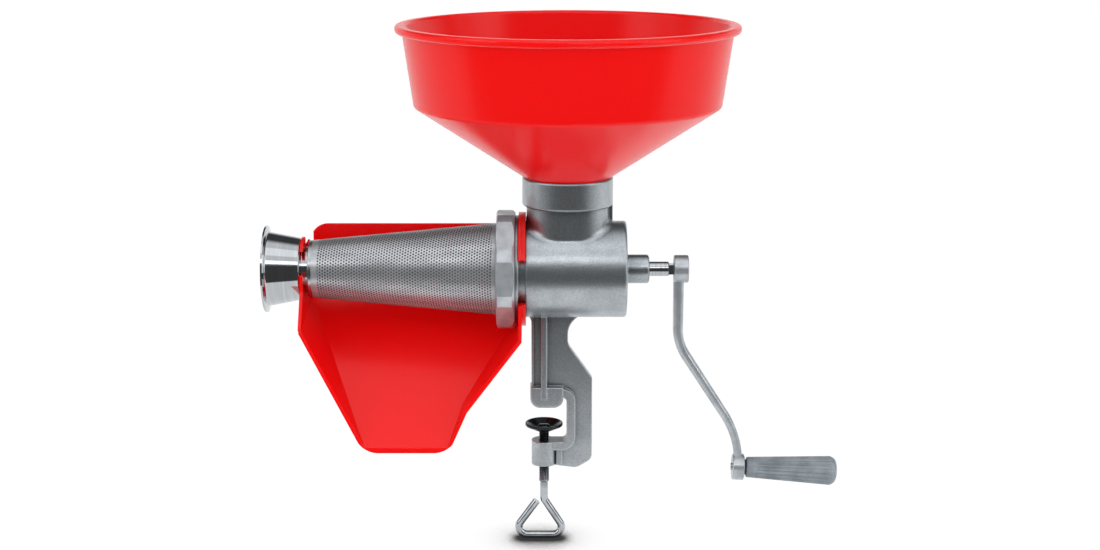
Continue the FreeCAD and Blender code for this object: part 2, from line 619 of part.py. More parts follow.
def build_auger():
    """A tapered core with one flight that follows the barrel and then the filter cone."""
    rear = (s.barrel_end - s.barrel_end_wall - s.washer_thickness - s.loose_clearance)
    tip = -(s.filter_end - s.auger_tip_gap)
    shaft_bore = s.shaft_radius + s.run_clearance
    body = lathe_x("auger_core_blank", (
        (tip, 0), (tip, s.auger_tip_core), (-s.thread_end, s.auger_core), (rear, s.auger_core),
        (rear, shaft_bore), (rear - s.auger_bore_depth, shaft_bore),
        (rear - s.auger_bore_depth, 0)))

    steps_per_turn = 18
    half, root = s.auger_flight.value / 2, s.auger_tip_core.value / 2
    first, last = rear.value - half, tip.value + half
    steps = int(abs(last - first) / s.auger_pitch.value * steps_per_turn)
    barrel_reach = s.barrel_bore.value - s.auger_gap.value
    sections = []
    for step in range(steps + 1):
        x = first - s.auger_pitch.value * step / steps_per_turn
        reach = barrel_reach
        if x - half < -s.thread_end.value:
            reach = min(barrel_reach, filter_inside(x - half) - s.auger_gap.value)
        corners = [(x + half, root), (x + half * 0.6, reach),
                   (x - half * 0.6, reach), (x - half, root)]
        angle = 2 * math.pi * step / steps_per_turn
        wire = Part.makePolygon([
            Vector(along, -out * math.cos(angle), s.axis_height.value + out * math.sin(angle))
            for along, out in corners + corners[:1]])
        sections.append(wire)
    flight = Part.makeLoft(sections, True, True)
    hole = Part.makeCylinder(s.pin_radius.value, 4 * s.auger_core.value, Vector(
        s.pin_place.value, -2 * s.auger_core.value, s.axis_height.value), Vector(0, 1, 0))
    bore = Part.makeCylinder(
        shaft_bore.value, s.auger_bore_depth.value,
        Vector((rear - s.auger_bore_depth).value, 0, s.axis_height.value), Vector(1, 0, 0))
    auger = doc.addObject("Part::Feature", "auger")
    auger.Label = "auger"
    auger.Shape = body.Shape.fuse(flight).cut(bore).cut(hole)
    return body


# The filter, its rim, the waste outlet and the ring nut that holds them to the barrel.
def build_filter():
    gasket_face = -s.thread_end - s.gasket_thickness
    rim_face = gasket_face - s.filter_rim_thickness
    lathe_x("filter_gasket", (
        (gasket_face, s.barrel_bore), (gasket_face, s.filter_rim_radius),
        (-s.thread_end, s.filter_rim_radius), (-s.thread_end, s.barrel_bore)))
    lathe_x("filter_rim", (
        (rim_face, s.filter_large_radius), (rim_face, s.filter_rim_radius),
        (gasket_face, s.filter_rim_radius), (gasket_face, s.filter_large_radius)))
    wide, narrow = s.filter_large_radius, s.filter_small_radius
    lathe_x("filter_cone", (
        (gasket_face, wide - s.filter_sheet), (gasket_face, wide), (rim_face, wide),
        (-s.filter_end, narrow), (-s.filter_end, narrow - s.filter_sheet)))
    ring_face = -s.filter_end - s.end_ring_width
    lathe_x("filter_end_ring", (
        (-s.filter_end, s.outlet_neck_radius), (-s.filter_end, narrow),
        (ring_face, narrow, s.shaft_chamfer), (ring_face, s.outlet_neck_radius)))

    back = ring_face - s.outlet_neck_length
    mouth = back - s.outlet_length
    sheet = s.outlet_sheet
    lathe_x("waste_chute", (
        (-s.filter_end, s.outlet_neck_radius - sheet), (-s.filter_end, s.outlet_neck_radius),
        (back, s.outlet_neck_radius), (back, s.outlet_back_radius, sheet),
        (mouth, s.outlet_mouth_radius, sheet),
        (mouth - s.outlet_lip_length + sheet, s.outlet_lip_radius),
        (mouth - s.outlet_lip_length, s.outlet_lip_radius),
        (mouth - sheet, s.outlet_mouth_radius - sheet, sheet * 1.5),
        (back - sheet, s.outlet_back_radius - sheet), (back - sheet, s.outlet_neck_radius - sheet)))

    left = rim_face - s.nut_lip
    right = -s.nut_right
    bore, corner = nut_bore(), nut_radius()
    nut = lathe_x("ring_nut", (
        (left, s.filter_large_radius + s.loose_clearance),
        (left, corner - s.nut_chamfer), (left + s.nut_chamfer / 2, corner),
        (right - s.nut_chamfer, corner), (right, corner - s.nut_chamfer),
        (right, bore), (rim_face, bore), (rim_face, s.filter_large_radius + s.loose_clearance)))
    flat = new_sketch(nut, "flat", "YZ_Plane", shift=(0, s.axis_height, left), turn=-s.nut_turn_angle)
    deep = s.nut_flat_depth - corner
    draw(flat, ((-corner * 1.2, -corner), (deep, -corner), (deep, corner), (-corner * 1.2, corner)))
    cut = through(flat, "flat_cut")
    ring = nut.newObject("PartDesign::PolarPattern", "ring_nut_flats")
    ring.Originals = [cut]
    ring.Axis = (flat, ["N_Axis"])
    ring.Angle = 360
    ring.Occurrences = 8
    nut.Tip = ring
    doc.recompute()


# The splash guard: a bent scoop, shelled, with two snap hooks.
def build_guard():
    body = new_body("splash_guard")
    left = -(s.filter_end + s.end_ring_width + s.outlet_neck_length - s.loose_clearance)
    right = -(s.rim_face - s.loose_clearance - s.guard_sheet)
    sheet = s.guard_sheet
    back = nut_radius() + s.guard_back_gap + sheet
    slope = tangent(s.guard_slope_angle)
    # The floor is a plane that passes the ring nut at the named play and falls to the lip.
    floor_drop = (nut_radius() + s.guard_nut_gap + sheet) / cosine(s.guard_slope_angle)
    lip_reach = (s.guard_lip_drop - floor_drop) / slope
    side = new_sketch(body, "side", "YZ_Plane", shift=(0, s.axis_height, left))
    block = feature("Pad", draw(side, (
        (back, s.guard_back_height), (back, -floor_drop + back * slope, s.guard_bend),
        (-lip_reach, -s.guard_lip_drop), (-s.guard_front, -s.guard_front_height),
        (-s.guard_front, s.guard_front, s.guard_front - sheet),
        (sheet, s.guard_front))), "side_pad", Length=right - left)
    doc.recompute()

    # Both sides taper to the lip and open towards the front.
    over = s.guard_lip_round * 2
    low = -s.guard_lip_drop
    knee = (-s.guard_knee, -s.guard_knee_drop)
    for name, top, turns, foot, away, flare in (
            ("left", (left, -s.guard_taper_left), (), (-s.guard_lip_left, low),
             -1, s.guard_flare_left_angle),
            ("right", (right, -s.guard_taper_right), (knee,), (-s.guard_lip_right, low),
             1, s.guard_flare_right_angle)):
        after, before = (*turns, foot)[0], (top, *turns)[-1]
        first = (top[1] - after[1]) / ((top[0] - after[0]) * away)
        last = (before[1] - foot[1]) / ((before[0] - foot[0]) * away)
        outer = top[0] + over * away
        cut = new_sketch(body, name + "_taper", shift=(0, s.axis_height, lip_reach))
        draw(cut, ((outer, top[1] + over * first), *turns,
                   (foot[0] - over * away, low - over * last), (outer, low - over * last)))
        block = feature("Pocket", cut, name + "_taper_cut", Length=lip_reach + back * 2)
        block.UseCustomVector = True
        block.Direction = Vector(0, 1, 0)
        bind(block, "Direction.x", tangent(flare) * -away)
        doc.recompute()

    def open_side(face):
        normal = face.normalAt(*face.Surface.parameter(face.CenterOfMass))
        return abs(normal.x) < 0.05 and (normal.y < -0.2 or normal.z > 0.2)

    shell = body.newObject("PartDesign::Thickness", "splash_guard_shell")
    shell.Base = (block, ["Face%d" % n for n, face in enumerate(block.Shape.Faces, 1)
                          if open_side(face)])
    bind(shell, "Value", sheet)
    shell.Reversed = True
    shell.Join = "Intersection"
    doc.recompute()

    # A thick C-shaped hook snaps on the barrel behind the ring nut.
    hold = s.hook_seat + s.loose_clearance
    inner = right - sheet
    hook = new_sketch(body, "hook", "YZ_Plane", shift=(0, s.axis_height, inner))
    draw_circle(hook, s.guard_front)
    feature("Pad", hook, "hook_pad", Length=s.guard_hook_width)
    for name, make in (("hook_bore", lambda k: draw_circle(k, hold)),
                       ("hook_gap", lambda k: draw(k, (
                           (-s.guard_front * 2, -s.guard_hook_gap_down), (0, -s.guard_hook_gap_down),
                           (0, s.guard_hook_gap_up), (-s.guard_front * 2, s.guard_hook_gap_up))))):
        cut = new_sketch(body, name, "YZ_Plane",
                         shift=(0, s.axis_height, inner + s.guard_hook_width))
        feature("Pocket", make(cut), name + "_cut", Length=s.guard_hook_width)
        doc.recompute()

    # The outlet side wall ends in a smaller hook round the outlet's neck.
    small = s.outlet_neck_radius + s.loose_clearance
    joint = s.guard_back_height - s.guard_corner * 1.1
    top = s.guard_front * 2
    for name, make in (
            ("small_hook", lambda k: draw(k, (
                (top, top), (top, joint), (back - sheet, joint),
                (sheet, s.guard_small_hook),
                (-s.guard_small_hook, s.guard_small_hook, s.guard_small_hook - sheet),
                (-s.guard_small_hook, -s.guard_small_hook / 2),
                (-s.guard_front, -s.guard_taper_left), (-top, -s.guard_taper_left), (-top, top)))),
            ("small_bore", lambda k: draw_circle(k, small)),
            ("small_gap", lambda k: draw(k, (
                (-top, -s.guard_small_gap_down), (0, -s.guard_small_gap_down),
                (0, s.guard_small_gap_up), (-top, s.guard_small_gap_up))))):
        cut = new_sketch(body, name, "YZ_Plane", shift=(0, s.axis_height, left))
        made = feature("Pocket", make(cut), name + "_cut", Length=sheet)
        made.Reversed = True
        doc.recompute()

    # Rounded corners: the back's upper corner and both ends of the lip.
    corner = new_sketch(body, "corner", shift=(left, s.axis_height + s.guard_back_height))
    far = right - left - sheet * 2
    draw(corner, ((-over, over), (-over, -over), (0, -over), (0, 0, s.guard_corner),
                  (far, 0), (far, over)))
    feature("Pocket", corner, "corner_cut", Length=back * 2)
    doc.recompute()
    lip = new_sketch(body, "lip", shift=(0, s.axis_height, 0))
    reach = s.guard_lip_drop * 2
    draw(lip, ((left - reach, reach), (left - reach, -reach),
               (right + reach, -reach), (right + reach, reach)))
    draw(lip, ((left - sheet, -s.guard_taper_left), (-s.guard_lip_left, low, s.guard_lip_round),
               (-s.guard_lip_right, low, s.guard_lip_round), (knee[0] + sheet, knee[1]),
               (right + over, -s.guard_taper_right), (right + over, reach / 2),
               (left - over, reach / 2), (left - over, -s.guard_taper_left)))
    through(lip, "lip_cut")
    return body


# The hopper: a straight-sided bowl on a cone, with a bead and a spigot into the collar.
def build_hopper():
    wall = s.hopper_wall
    wall_top = s.hopper_rim_radius - s.hopper_bead_reach
    foot = collar_top()
    rim = foot + s.hopper_height
    crease = foot + s.hopper_crease_rise
    bead_foot = rim - s.hopper_bead_height
    seat = foot + s.hopper_seat_step
    fall = (crease - seat) / (s.hopper_crease_radius - s.hopper_seat_radius)
    lathe_z("hopper", (
        (s.spigot_radius - wall, foot - s.spigot_length),
        (s.spigot_radius, foot - s.spigot_length),
        (s.spigot_radius, foot), (s.hopper_seat_radius, foot), (s.hopper_seat_radius, seat),
        (s.hopper_crease_radius, crease, s.hopper_crease_round),
        (wall_top, bead_foot), (s.hopper_rim_radius, bead_foot, s.hopper_bead_round),
        (s.hopper_rim_radius, rim, s.hopper_bead_round),
        (wall_top - wall, rim, s.hopper_bead_round),
        (s.hopper_crease_radius - wall, crease + wall / 2, s.hopper_crease_round),
        (s.spigot_radius - wall,
         seat + (s.spigot_radius - s.hopper_seat_radius) * fall + wall * 1.2),
    ), s.feed_offset)


# The crank, its grip and what holds them.
def build_crank():
    arm = new_body("crank_arm")
    axis = (0, s.axis_height)
    hub_end = s.hub_start + s.hub_length
    turn(draw(new_sketch(arm, "hub", shift=axis), (
        (s.hub_start, 0), (s.hub_start, s.hub_radius, s.hub_edge),
        (hub_end, s.hub_radius, s.hub_edge), (hub_end, 0))), "hub_turned", "H_Axis")
    eye_height = s.axis_height - s.crank_throw
    spine = draw(new_sketch(arm, "spine"), (
        (s.arm_top, s.axis_height - s.hub_radius / 2),
        (s.arm_top, s.axis_height - s.arm_bend_high, s.arm_bend_round),
        (s.eye_place, s.axis_height - s.arm_bend_low, s.arm_sweep_round),
        (s.eye_place, eye_height)), closed=False)
    sections = []
    for name, x, z, width, depth in (
            ("top", s.arm_top, s.axis_height - s.hub_radius / 2, s.arm_width_top, s.arm_depth_top),
            ("low", s.eye_place, eye_height, s.arm_width_low, s.arm_depth_low)):
        section = new_sketch(arm, name + "_section", "XY_Plane", shift=(x, 0, z))
        half, edge = width / 2, width / 2.3
        sections.append(draw(section, (
            (half, depth / 2, edge), (-half, depth / 2, edge),
            (-half, -depth / 2, edge), (half, -depth / 2, edge))))
    doc.recompute()
    sweep = feature("AdditivePipe", sections[0], "arm_sweep")
    sweep.Spine = (spine, ["Edge%d" % n for n in range(1, len(spine.Shape.Edges) + 1)])
    sweep.Transformation = "Multisection"
    sweep.Sections = [(sections[1], [""])]
    doc.recompute()
    tilted = {"shift": (s.eye_place, eye_height), "turn": -s.grip_splay_angle}
    half_eye = s.eye_length / 2
    turn(draw(new_sketch(arm, "eye", **tilted), (
        (-half_eye, 0), (-half_eye, s.eye_radius, s.hub_edge), (half_eye, s.eye_radius, s.hub_edge),
        (half_eye, 0))), "eye_turned", "H_Axis")
    turn(draw(new_sketch(arm, "eye_bore", **tilted), (
        (-s.eye_length, 0), (-s.eye_length, s.grip_pin_radius),
        (s.eye_length, s.grip_pin_radius), (s.eye_length, 0))), "eye_bored", "H_Axis", "Groove")
    square = new_sketch(arm, "square", "YZ_Plane", shift=(0, s.axis_height, 0))
    half = s.shaft_square / 2 + s.run_clearance
    through(draw(square, ((-half, -half), (half, -half), (half, half), (-half, half))),
            "square_cut")
    middle = s.hub_start + s.hub_length / 2
    grub = new_sketch(arm, "grub_hole", shift=(middle, s.axis_height, 0))
    feature("Pocket", draw_circle(grub, s.grub_radius), "grub_cut", Length=s.hub_radius * 2)
    doc.recompute()

    screw = new_body("crank_set_screw")
    grub = new_sketch(screw, "profile", shift=(middle, s.axis_height, -half))
    made = feature("Pad", draw_circle(grub, s.grub_radius), "screw_pad",
                   Length=s.hub_radius - half - s.hub_edge)
    made.Reversed = True
    doc.recompute()

    washer_start = half_eye
    grip_start = washer_start + s.grip_washer_thickness + s.loose_clearance
    grip_end = grip_start + s.grip_length
    head_face = grip_end - s.grip_head_depth
    run = s.run_clearance
    pin = new_body("grip_pin")
    turn(draw(new_sketch(pin, "profile"), (
        (-half_eye - s.grip_pin_nub, 0), (-half_eye - s.grip_pin_nub, s.grip_pin_radius),
        (head_face + s.loose_clearance, s.grip_pin_radius),
        (head_face + s.loose_clearance, s.grip_head_radius),
        (grip_end - s.grip_head_depth / 2, s.grip_head_radius),
        (grip_end - s.grip_head_depth / 2, 0))), "turned", "H_Axis")
    washer = new_body("grip_washer")
    turn(draw(new_sketch(washer, "profile"), (
        (washer_start, s.grip_pin_radius), (washer_start, s.grip_washer_radius),
        (washer_start + s.grip_washer_thickness, s.grip_washer_radius),
        (washer_start + s.grip_washer_thickness, s.grip_pin_radius))), "turned", "H_Axis")
    grip = new_body("grip")
    bore, recess = s.grip_pin_radius + run, s.grip_head_radius + s.loose_clearance
    turn(draw(new_sketch(grip, "profile"), (
        (grip_start, bore), (grip_start, s.grip_start_radius, s.hub_edge),
        (grip_end - s.grip_dome, s.grip_end_radius, s.grip_dome),
        (grip_end, recess + s.hub_edge), (grip_end, recess),
        (head_face, recess), (head_face, bore))), "turned", "H_Axis")
    for body in (pin, washer, grip):
        on_grip_axis(body)
    doc.recompute()


# The clamp screw, bent from one rod into its own loop handle, and the loose pad on its tip.
def build_clamp():
    floor = -s.pad_rim - s.pad_dish
    under = floor - s.pad_sheet
    hole = s.pad_neck + s.loose_clearance
    lathe_z("clamp_pad", (
        (hole, under), (s.pad_flat, under, s.pad_sheet),
        (s.pad_radius, -s.pad_rim - s.pad_sheet, s.pad_sheet / 3),
        (s.pad_radius, -s.pad_rim, s.pad_sheet / 3), (s.pad_radius - s.pad_sheet / 1.5, -s.pad_rim),
        (s.pad_flat, floor, s.pad_sheet), (hole, floor)))

    gap = s.loose_clearance
    screw = lathe_z("clamp_screw", (
        (0, floor + gap + s.pad_rivet_height),
        (s.pad_rivet, floor + gap + s.pad_rivet_height, s.pad_rivet_height * 0.8),
        (s.pad_rivet, floor + gap), (s.pad_neck, floor + gap), (s.pad_neck, under - gap),
        (s.screw_radius, under - gap), (s.screw_radius, -s.screw_thread_end),
        (s.wire_radius, -s.screw_thread_end - s.screw_radius + s.wire_radius),
        (s.wire_radius, -s.loop_top + s.loop_bend), (0, -s.loop_top + s.loop_bend)))
    spine = draw(new_sketch(screw, "spine"), (
        (0, -s.loop_top + s.loop_bend), (0, -s.loop_top, s.loop_bend),
        (s.loop_right, -s.loop_bottom, s.loop_bend), (-s.loop_left, -s.loop_bottom, s.loop_bend),
        (-s.loop_end_gap, -s.loop_top - s.wire_radius / 2)), closed=False)
    section = new_sketch(screw, "section", "XY_Plane", shift=(0, 0, -s.loop_top + s.loop_bend))
    draw_circle(section, s.wire_radius)
    doc.recompute()
    loop = feature("AdditivePipe", section, "loop")
    loop.Spine = (spine, ["Edge%d" % n for n in range(1, len(spine.Shape.Edges) + 1)])
    doc.recompute()


def main():
    build_casting()
    build_drive()
    build_auger()
    build_filter()
    build_guard()
    build_hopper()
    build_crank()
    build_clamp()

    failed = [item.Label for item in doc.Objects
              if {"Invalid", "Error"} & set(item.State)]
    if failed:
        raise RuntimeError("features failed: " + ", ".join(failed))
    pieces = [item for item in doc.Objects if item.Label != "auger_core_blank"
              and item.TypeId in ("PartDesign::Body", "Part::Feature")]
    for item in pieces:
        shape = item.Shape
        if shape.isNull() or not shape.isValid() or len(shape.Solids) != 1 or shape.Volume <= 0:
            raise RuntimeError("not one sound solid: " + item.Label)
    os.makedirs("parts", exist_ok=True)
    for item in pieces:
        item.Shape.exportStep("parts/%s.step" % item.Label)


main()
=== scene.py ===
"""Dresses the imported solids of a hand-cranked tomato mill, laid out as a Blender add-on.

Everything is in metres in the mill's own frame: +X along the drive axis to the crank, +Z up,
and the origin under the upper jaw, on the table top.
"""

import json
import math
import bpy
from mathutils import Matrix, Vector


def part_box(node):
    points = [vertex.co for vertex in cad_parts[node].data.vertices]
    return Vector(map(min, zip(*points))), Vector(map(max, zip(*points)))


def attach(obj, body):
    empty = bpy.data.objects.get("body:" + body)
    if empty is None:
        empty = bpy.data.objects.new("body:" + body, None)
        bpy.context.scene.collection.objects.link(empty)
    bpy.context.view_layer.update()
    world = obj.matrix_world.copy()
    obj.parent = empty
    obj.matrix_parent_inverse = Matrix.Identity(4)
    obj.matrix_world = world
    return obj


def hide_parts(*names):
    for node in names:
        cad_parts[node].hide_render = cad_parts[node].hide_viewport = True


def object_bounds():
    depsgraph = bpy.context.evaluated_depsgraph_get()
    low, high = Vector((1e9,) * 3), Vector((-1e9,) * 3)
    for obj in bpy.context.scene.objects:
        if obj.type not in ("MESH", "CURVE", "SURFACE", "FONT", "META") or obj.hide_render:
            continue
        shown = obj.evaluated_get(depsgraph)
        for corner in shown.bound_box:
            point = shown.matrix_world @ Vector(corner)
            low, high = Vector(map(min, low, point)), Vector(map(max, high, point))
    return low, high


bl_info = {
    "name": "Tomato Mill Dresser",
    "version": (1, 0, 0),
    "blender": (4, 5, 0),
    "location": "View3D > Sidebar > Mill",
    "description": "Perforates the filter, flutes the grip, rolls the clamp thread and finishes the mill",
    "category": "Object",
}

import bmesh
import bpy
from mathutils import Matrix, Quaternion, Vector

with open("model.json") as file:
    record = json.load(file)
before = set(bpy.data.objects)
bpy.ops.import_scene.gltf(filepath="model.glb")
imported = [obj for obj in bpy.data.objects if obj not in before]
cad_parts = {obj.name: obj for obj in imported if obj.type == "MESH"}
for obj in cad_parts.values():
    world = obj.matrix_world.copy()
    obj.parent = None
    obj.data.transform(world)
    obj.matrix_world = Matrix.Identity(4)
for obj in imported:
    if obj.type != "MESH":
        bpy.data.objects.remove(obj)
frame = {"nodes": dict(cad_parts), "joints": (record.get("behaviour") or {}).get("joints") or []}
cad_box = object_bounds()

MM = 0.001
# Metres within which two points count as one.
TOUCH = 1e-6
# Degrees between two faces from which their shared edge stays hard.
SHARP = 35
LENGTH = {"subtype": "DISTANCE", "unit": "LENGTH"}
shaft_low, shaft_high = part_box("drive_shaft")
AXIS_Z = (shaft_low.z + shaft_high.z) / 2


def hex_colour(text):
    """Linear colour with alpha from an sRGB hex value."""
    parts = [int(text[i:i + 2], 16) / 255 for i in (0, 2, 4)]
    return tuple(p / 12.92 if p <= 0.04045 else ((p + 0.055) / 1.055) ** 2.4 for p in parts) + (1.0,)


def colour_property(label, note, text):
    """A colour that a user can change, from an sRGB hex value."""
    return bpy.props.FloatVectorProperty(
        name=label, description=note, subtype="COLOR", size=4, min=0, max=1, default=hex_colour(text))


class FilterSizes(bpy.types.PropertyGroup):
    """Perforation of the filter cone."""
    pitch: bpy.props.FloatProperty(
        name="Pitch", description="Distance between neighbouring holes",
        default=2.65 * MM, min=2.6 * MM, **LENGTH)
    hole: bpy.props.FloatProperty(
        name="Hole", description="Width of a hole outside", default=1.7 * MM, min=0.5 * MM, **LENGTH)
    hole_inside: bpy.props.FloatProperty(
        name="Hole inside", description="Width of a hole inside", default=1.0 * MM, min=0.3 * MM, **LENGTH)
    wide_band: bpy.props.FloatProperty(
        name="Wide band", description="Plain band at the ring nut", default=4.0 * MM, **LENGTH)
    narrow_band: bpy.props.FloatProperty(
        name="Narrow band", description="Plain band at the waste outlet", default=2.6 * MM, **LENGTH)
    seam: bpy.props.FloatProperty(
        name="Seam", description="Width of the lapped seam at the back", default=7.0 * MM, **LENGTH)
    sheet: bpy.props.FloatProperty(
        name="Sheet", description="Thickness of the sheet", default=0.8 * MM, **LENGTH)


class GripSizes(bpy.types.PropertyGroup):
    """Fluting of the crank's grip."""
    flutes: bpy.props.IntProperty(
        name="Flutes", description="Number of flutes round the grip", default=18, min=6, max=24)
    depth: bpy.props.FloatProperty(
        name="Depth", description="Depth of a flute", default=1.1 * MM, min=0, max=2 * MM, **LENGTH)
    collar: bpy.props.FloatProperty(
        name="Collar", description="Plain collar before the flutes", default=5.0 * MM, **LENGTH)


class ThreadSizes(bpy.types.PropertyGroup):
    """Rolled thread of the clamp screw."""
    pitch: bpy.props.FloatProperty(
        name="Pitch", description="Rise of the thread in one turn", default=1.5 * MM, min=0.8 * MM, **LENGTH)
    depth: bpy.props.FloatProperty(
        name="Depth", description="Depth of the thread", default=0.62 * MM, min=0, max=1 * MM, **LENGTH)


class FinishColours(bpy.types.PropertyGroup):
    """Colours of the mill's finishes."""
    red: colour_property("Red plastic", "Hopper and splash guard", "E10C12")
    casting: colour_property("Casting", "Body, crank and ring nut", "BDC3C7")
    casting_dark: colour_property("Casting, dull", "Dull patches of the casting", "A6ADB2")
    filter: colour_property("Filter", "Punched sheet of the filter", "C2C5C8")
    steel: colour_property("Steel", "Outlet, shaft and the filter's rings", "BFC2C5")
    chrome: colour_property("Chrome", "Clamp screw and pins", "BBBFC3")
    burnished: colour_property("Burnished steel", "Pad and worn thread of the clamp screw", "34383A")
    grip: colour_property("Grip", "Moulded grip", "8B959C")
    nylon: colour_property("Nylon", "Auger in the barrel, greyed by use", "8F8D87")


class MillSettings(bpy.types.PropertyGroup):
    """All that a user would change on the mill."""
    filter: bpy.props.PointerProperty(type=FilterSizes)
    grip: bpy.props.PointerProperty(type=GripSizes)
    thread: bpy.props.PointerProperty(type=ThreadSizes)
    colours: bpy.props.PointerProperty(type=FinishColours)


def node(tree, kind, inputs=None, **settings):
    """Add a node with its settings; inputs are values, or sockets to link from.

    A colour Mix takes its factor at input 0 and its two colours at 6 and 7. A Map Range takes its
    value at 0, the range that it comes from at 1 and 2, and the range that it goes to at 3 and 4.
    """
    made = tree.nodes.new(kind)
    for name, value in settings.items():
        setattr(made, name, value)
    for key, value in (inputs or {}).items():
        if isinstance(value, bpy.types.NodeSocket):
            tree.links.new(value, made.inputs[key])
        else:
            made.inputs[key].default_value = value
    return made


def per_mm(size):
    """Texture scale at which one feature of a noise or wave is this many millimetres wide."""
    return 1 / (size * MM)


def new_finish(name, **sockets):
    """A material with one principled shader, and its Object coordinates."""
    material = bpy.data.materials.new(name)
    material.use_nodes = True
    tree = material.node_tree
    shader = tree.nodes["Principled BSDF"]
    for key, value in sockets.items():
        shader.inputs[key.replace("_", " ")].default_value = value
    place = node(tree, "ShaderNodeTexCoord").outputs["Object"]
    return material, tree, shader, place


def between(tree, factor, low_value, high_value):
    """A number that runs between two values as a factor goes from 0.25 to 0.75."""
    return node(tree, "ShaderNodeMapRange", {
        0: factor, 1: 0.25, 2: 0.75, 3: low_value, 4: high_value},
        interpolation_type="SMOOTHERSTEP").outputs[0]


def roughen(tree, shader, height, distance, strength=1.0, normal=None):
    """Bump from a height field, over a rounded normal where one is given."""
    inputs = {"Strength": strength, "Distance": distance, "Height": height}
    if normal is not None:
        inputs["Normal"] = normal
    tree.links.new(node(tree, "ShaderNodeBump", inputs).outputs[0], shader.inputs["Normal"])


def sand_cast_aluminium(colours):
    """Sand-cast aluminium, tumbled and left unpainted: grey, softly shiny, with a fine grit in its
    skin, duller patches of some centimetres, edges rubbed brighter with a painted highlight on
    them, and painted shade in the hollows."""
    material, tree, shader, place = new_finish("sand_cast_aluminium", Metallic=0.94)
    patches = node(tree, "ShaderNodeTexNoise", {"Vector": place, "Scale": per_mm(22), "Detail": 4.0})
    # The real grit is about 0.5 mm; it is drawn at 1.6 mm so that it shows.
    grit = node(tree, "ShaderNodeTexNoise", {"Vector": place, "Scale": per_mm(1.6), "Detail": 3.0})
    rounded = node(tree, "ShaderNodeBevel", {"Radius": 1.7 * MM}, samples=4).outputs[0]
    flat = node(tree, "ShaderNodeNewGeometry").outputs["True Normal"]
    edge = node(tree, "ShaderNodeVectorMath", {
        0: rounded, 1: flat}, operation="DOT_PRODUCT").outputs["Value"]
    # Rubbed wear and a painted highlight set in where the rounded normal leaves the face's own by 8 degrees,
    # and are full at 31.
    worn = node(tree, "ShaderNodeMapRange", {0: edge, 1: 0.99, 2: 0.86, 3: 0.0, 4: 0.9}).outputs[0]
    skin = node(tree, "ShaderNodeMix", {
        0: between(tree, patches.outputs[0], 0.25, 1.0), 6: colours.casting_dark, 7: colours.casting},
        data_type="RGBA")
    mottled = node(tree, "ShaderNodeMix", {
        0: between(tree, grit.outputs[0], 0.0, 0.35), 6: skin.outputs[2], 7: hex_colour("7E858A")},
        data_type="RGBA")
    # Painted highlight: the rubbed edges are painted near white, partly wear and partly the light on their
    # rounding.
    bright = node(tree, "ShaderNodeMix", {
        0: worn, 6: mottled.outputs[2], 7: hex_colour("E6E9EB")}, data_type="RGBA")
    # Painted shade: the hollows are darkened towards a dark grey by how closed in they are.
    hollow = node(tree, "ShaderNodeAmbientOcclusion", {"Distance": 22 * MM}, samples=6).outputs["AO"]
    painted_hollow_shade = node(tree, "ShaderNodeMapRange", {0: hollow, 1: 0.25, 2: 0.85, 3: 0.7, 4: 0.0}).outputs[0]
    skin = node(tree, "ShaderNodeMix", {
        0: painted_hollow_shade, 6: bright.outputs[2], 7: hex_colour("3A3E41")}, data_type="RGBA")
    tree.links.new(skin.outputs[2], shader.inputs["Base Color"])
    tree.links.new(between(tree, patches.outputs[0], 0.36, 0.29), shader.inputs["Roughness"])
    roughen(tree, shader, grit.outputs[0], 0.12 * MM, 0.5, rounded)
    return material


def smooth_cast_aluminium(name, colours, metallic):
    """Die-cast aluminium, tumbled smooth: an even satin grey with a faint cloudiness, and duller
    the thicker its oxide skin is."""
    material, tree, shader, place = new_finish(name, Metallic=metallic)
    cloud = node(tree, "ShaderNodeTexNoise", {"Vector": place, "Scale": per_mm(14), "Detail": 3.0})
    rounded = node(tree, "ShaderNodeBevel", {"Radius": 0.8 * MM}, samples=4).outputs[0]
    tone = node(tree, "ShaderNodeMix", {
        0: between(tree, cloud.outputs[0], 0.0, 1.0), 6: hex_colour("A3AAB0"), 7: colours.casting},
        data_type="RGBA")
    tree.links.new(tone.outputs[2], shader.inputs["Base Color"])
    tree.links.new(between(tree, cloud.outputs[0], 0.40, 0.32), shader.inputs["Roughness"])
    fine = node(tree, "ShaderNodeTexNoise", {"Vector": place, "Scale": per_mm(2.2), "Detail": 2.0})
    roughen(tree, shader, fine.outputs[0], 0.05 * MM, 0.35, rounded)
    return material


def turned_along_x(name, base, dull, roughness, groove_mm, depth_mm):
    """Metal turned or polished on a lathe along the drive axis: fine rings that show as a
    faint grain round the piece. The true feed marks are finer and are drawn wider to show."""
    material, tree, shader, place = new_finish(name, Metallic=1.0)
    rings = node(tree, "ShaderNodeMapping", {"Vector": place, "Scale": (1.0, 0.04, 0.04)})
    grain = node(tree, "ShaderNodeTexNoise", {
        "Vector": rings.outputs[0], "Scale": per_mm(groove_mm), "Detail": 2.0})
    tone = node(tree, "ShaderNodeMix", {
        0: between(tree, grain.outputs[0], 0.0, 1.0), 6: dull, 7: base}, data_type="RGBA")
    tree.links.new(tone.outputs[2], shader.inputs["Base Color"])
    tree.links.new(between(tree, grain.outputs[0], roughness * 1.25, roughness * 0.8),
                   shader.inputs["Roughness"])
    roughen(tree, shader, grain.outputs[0], depth_mm * MM, 0.4)
    return material


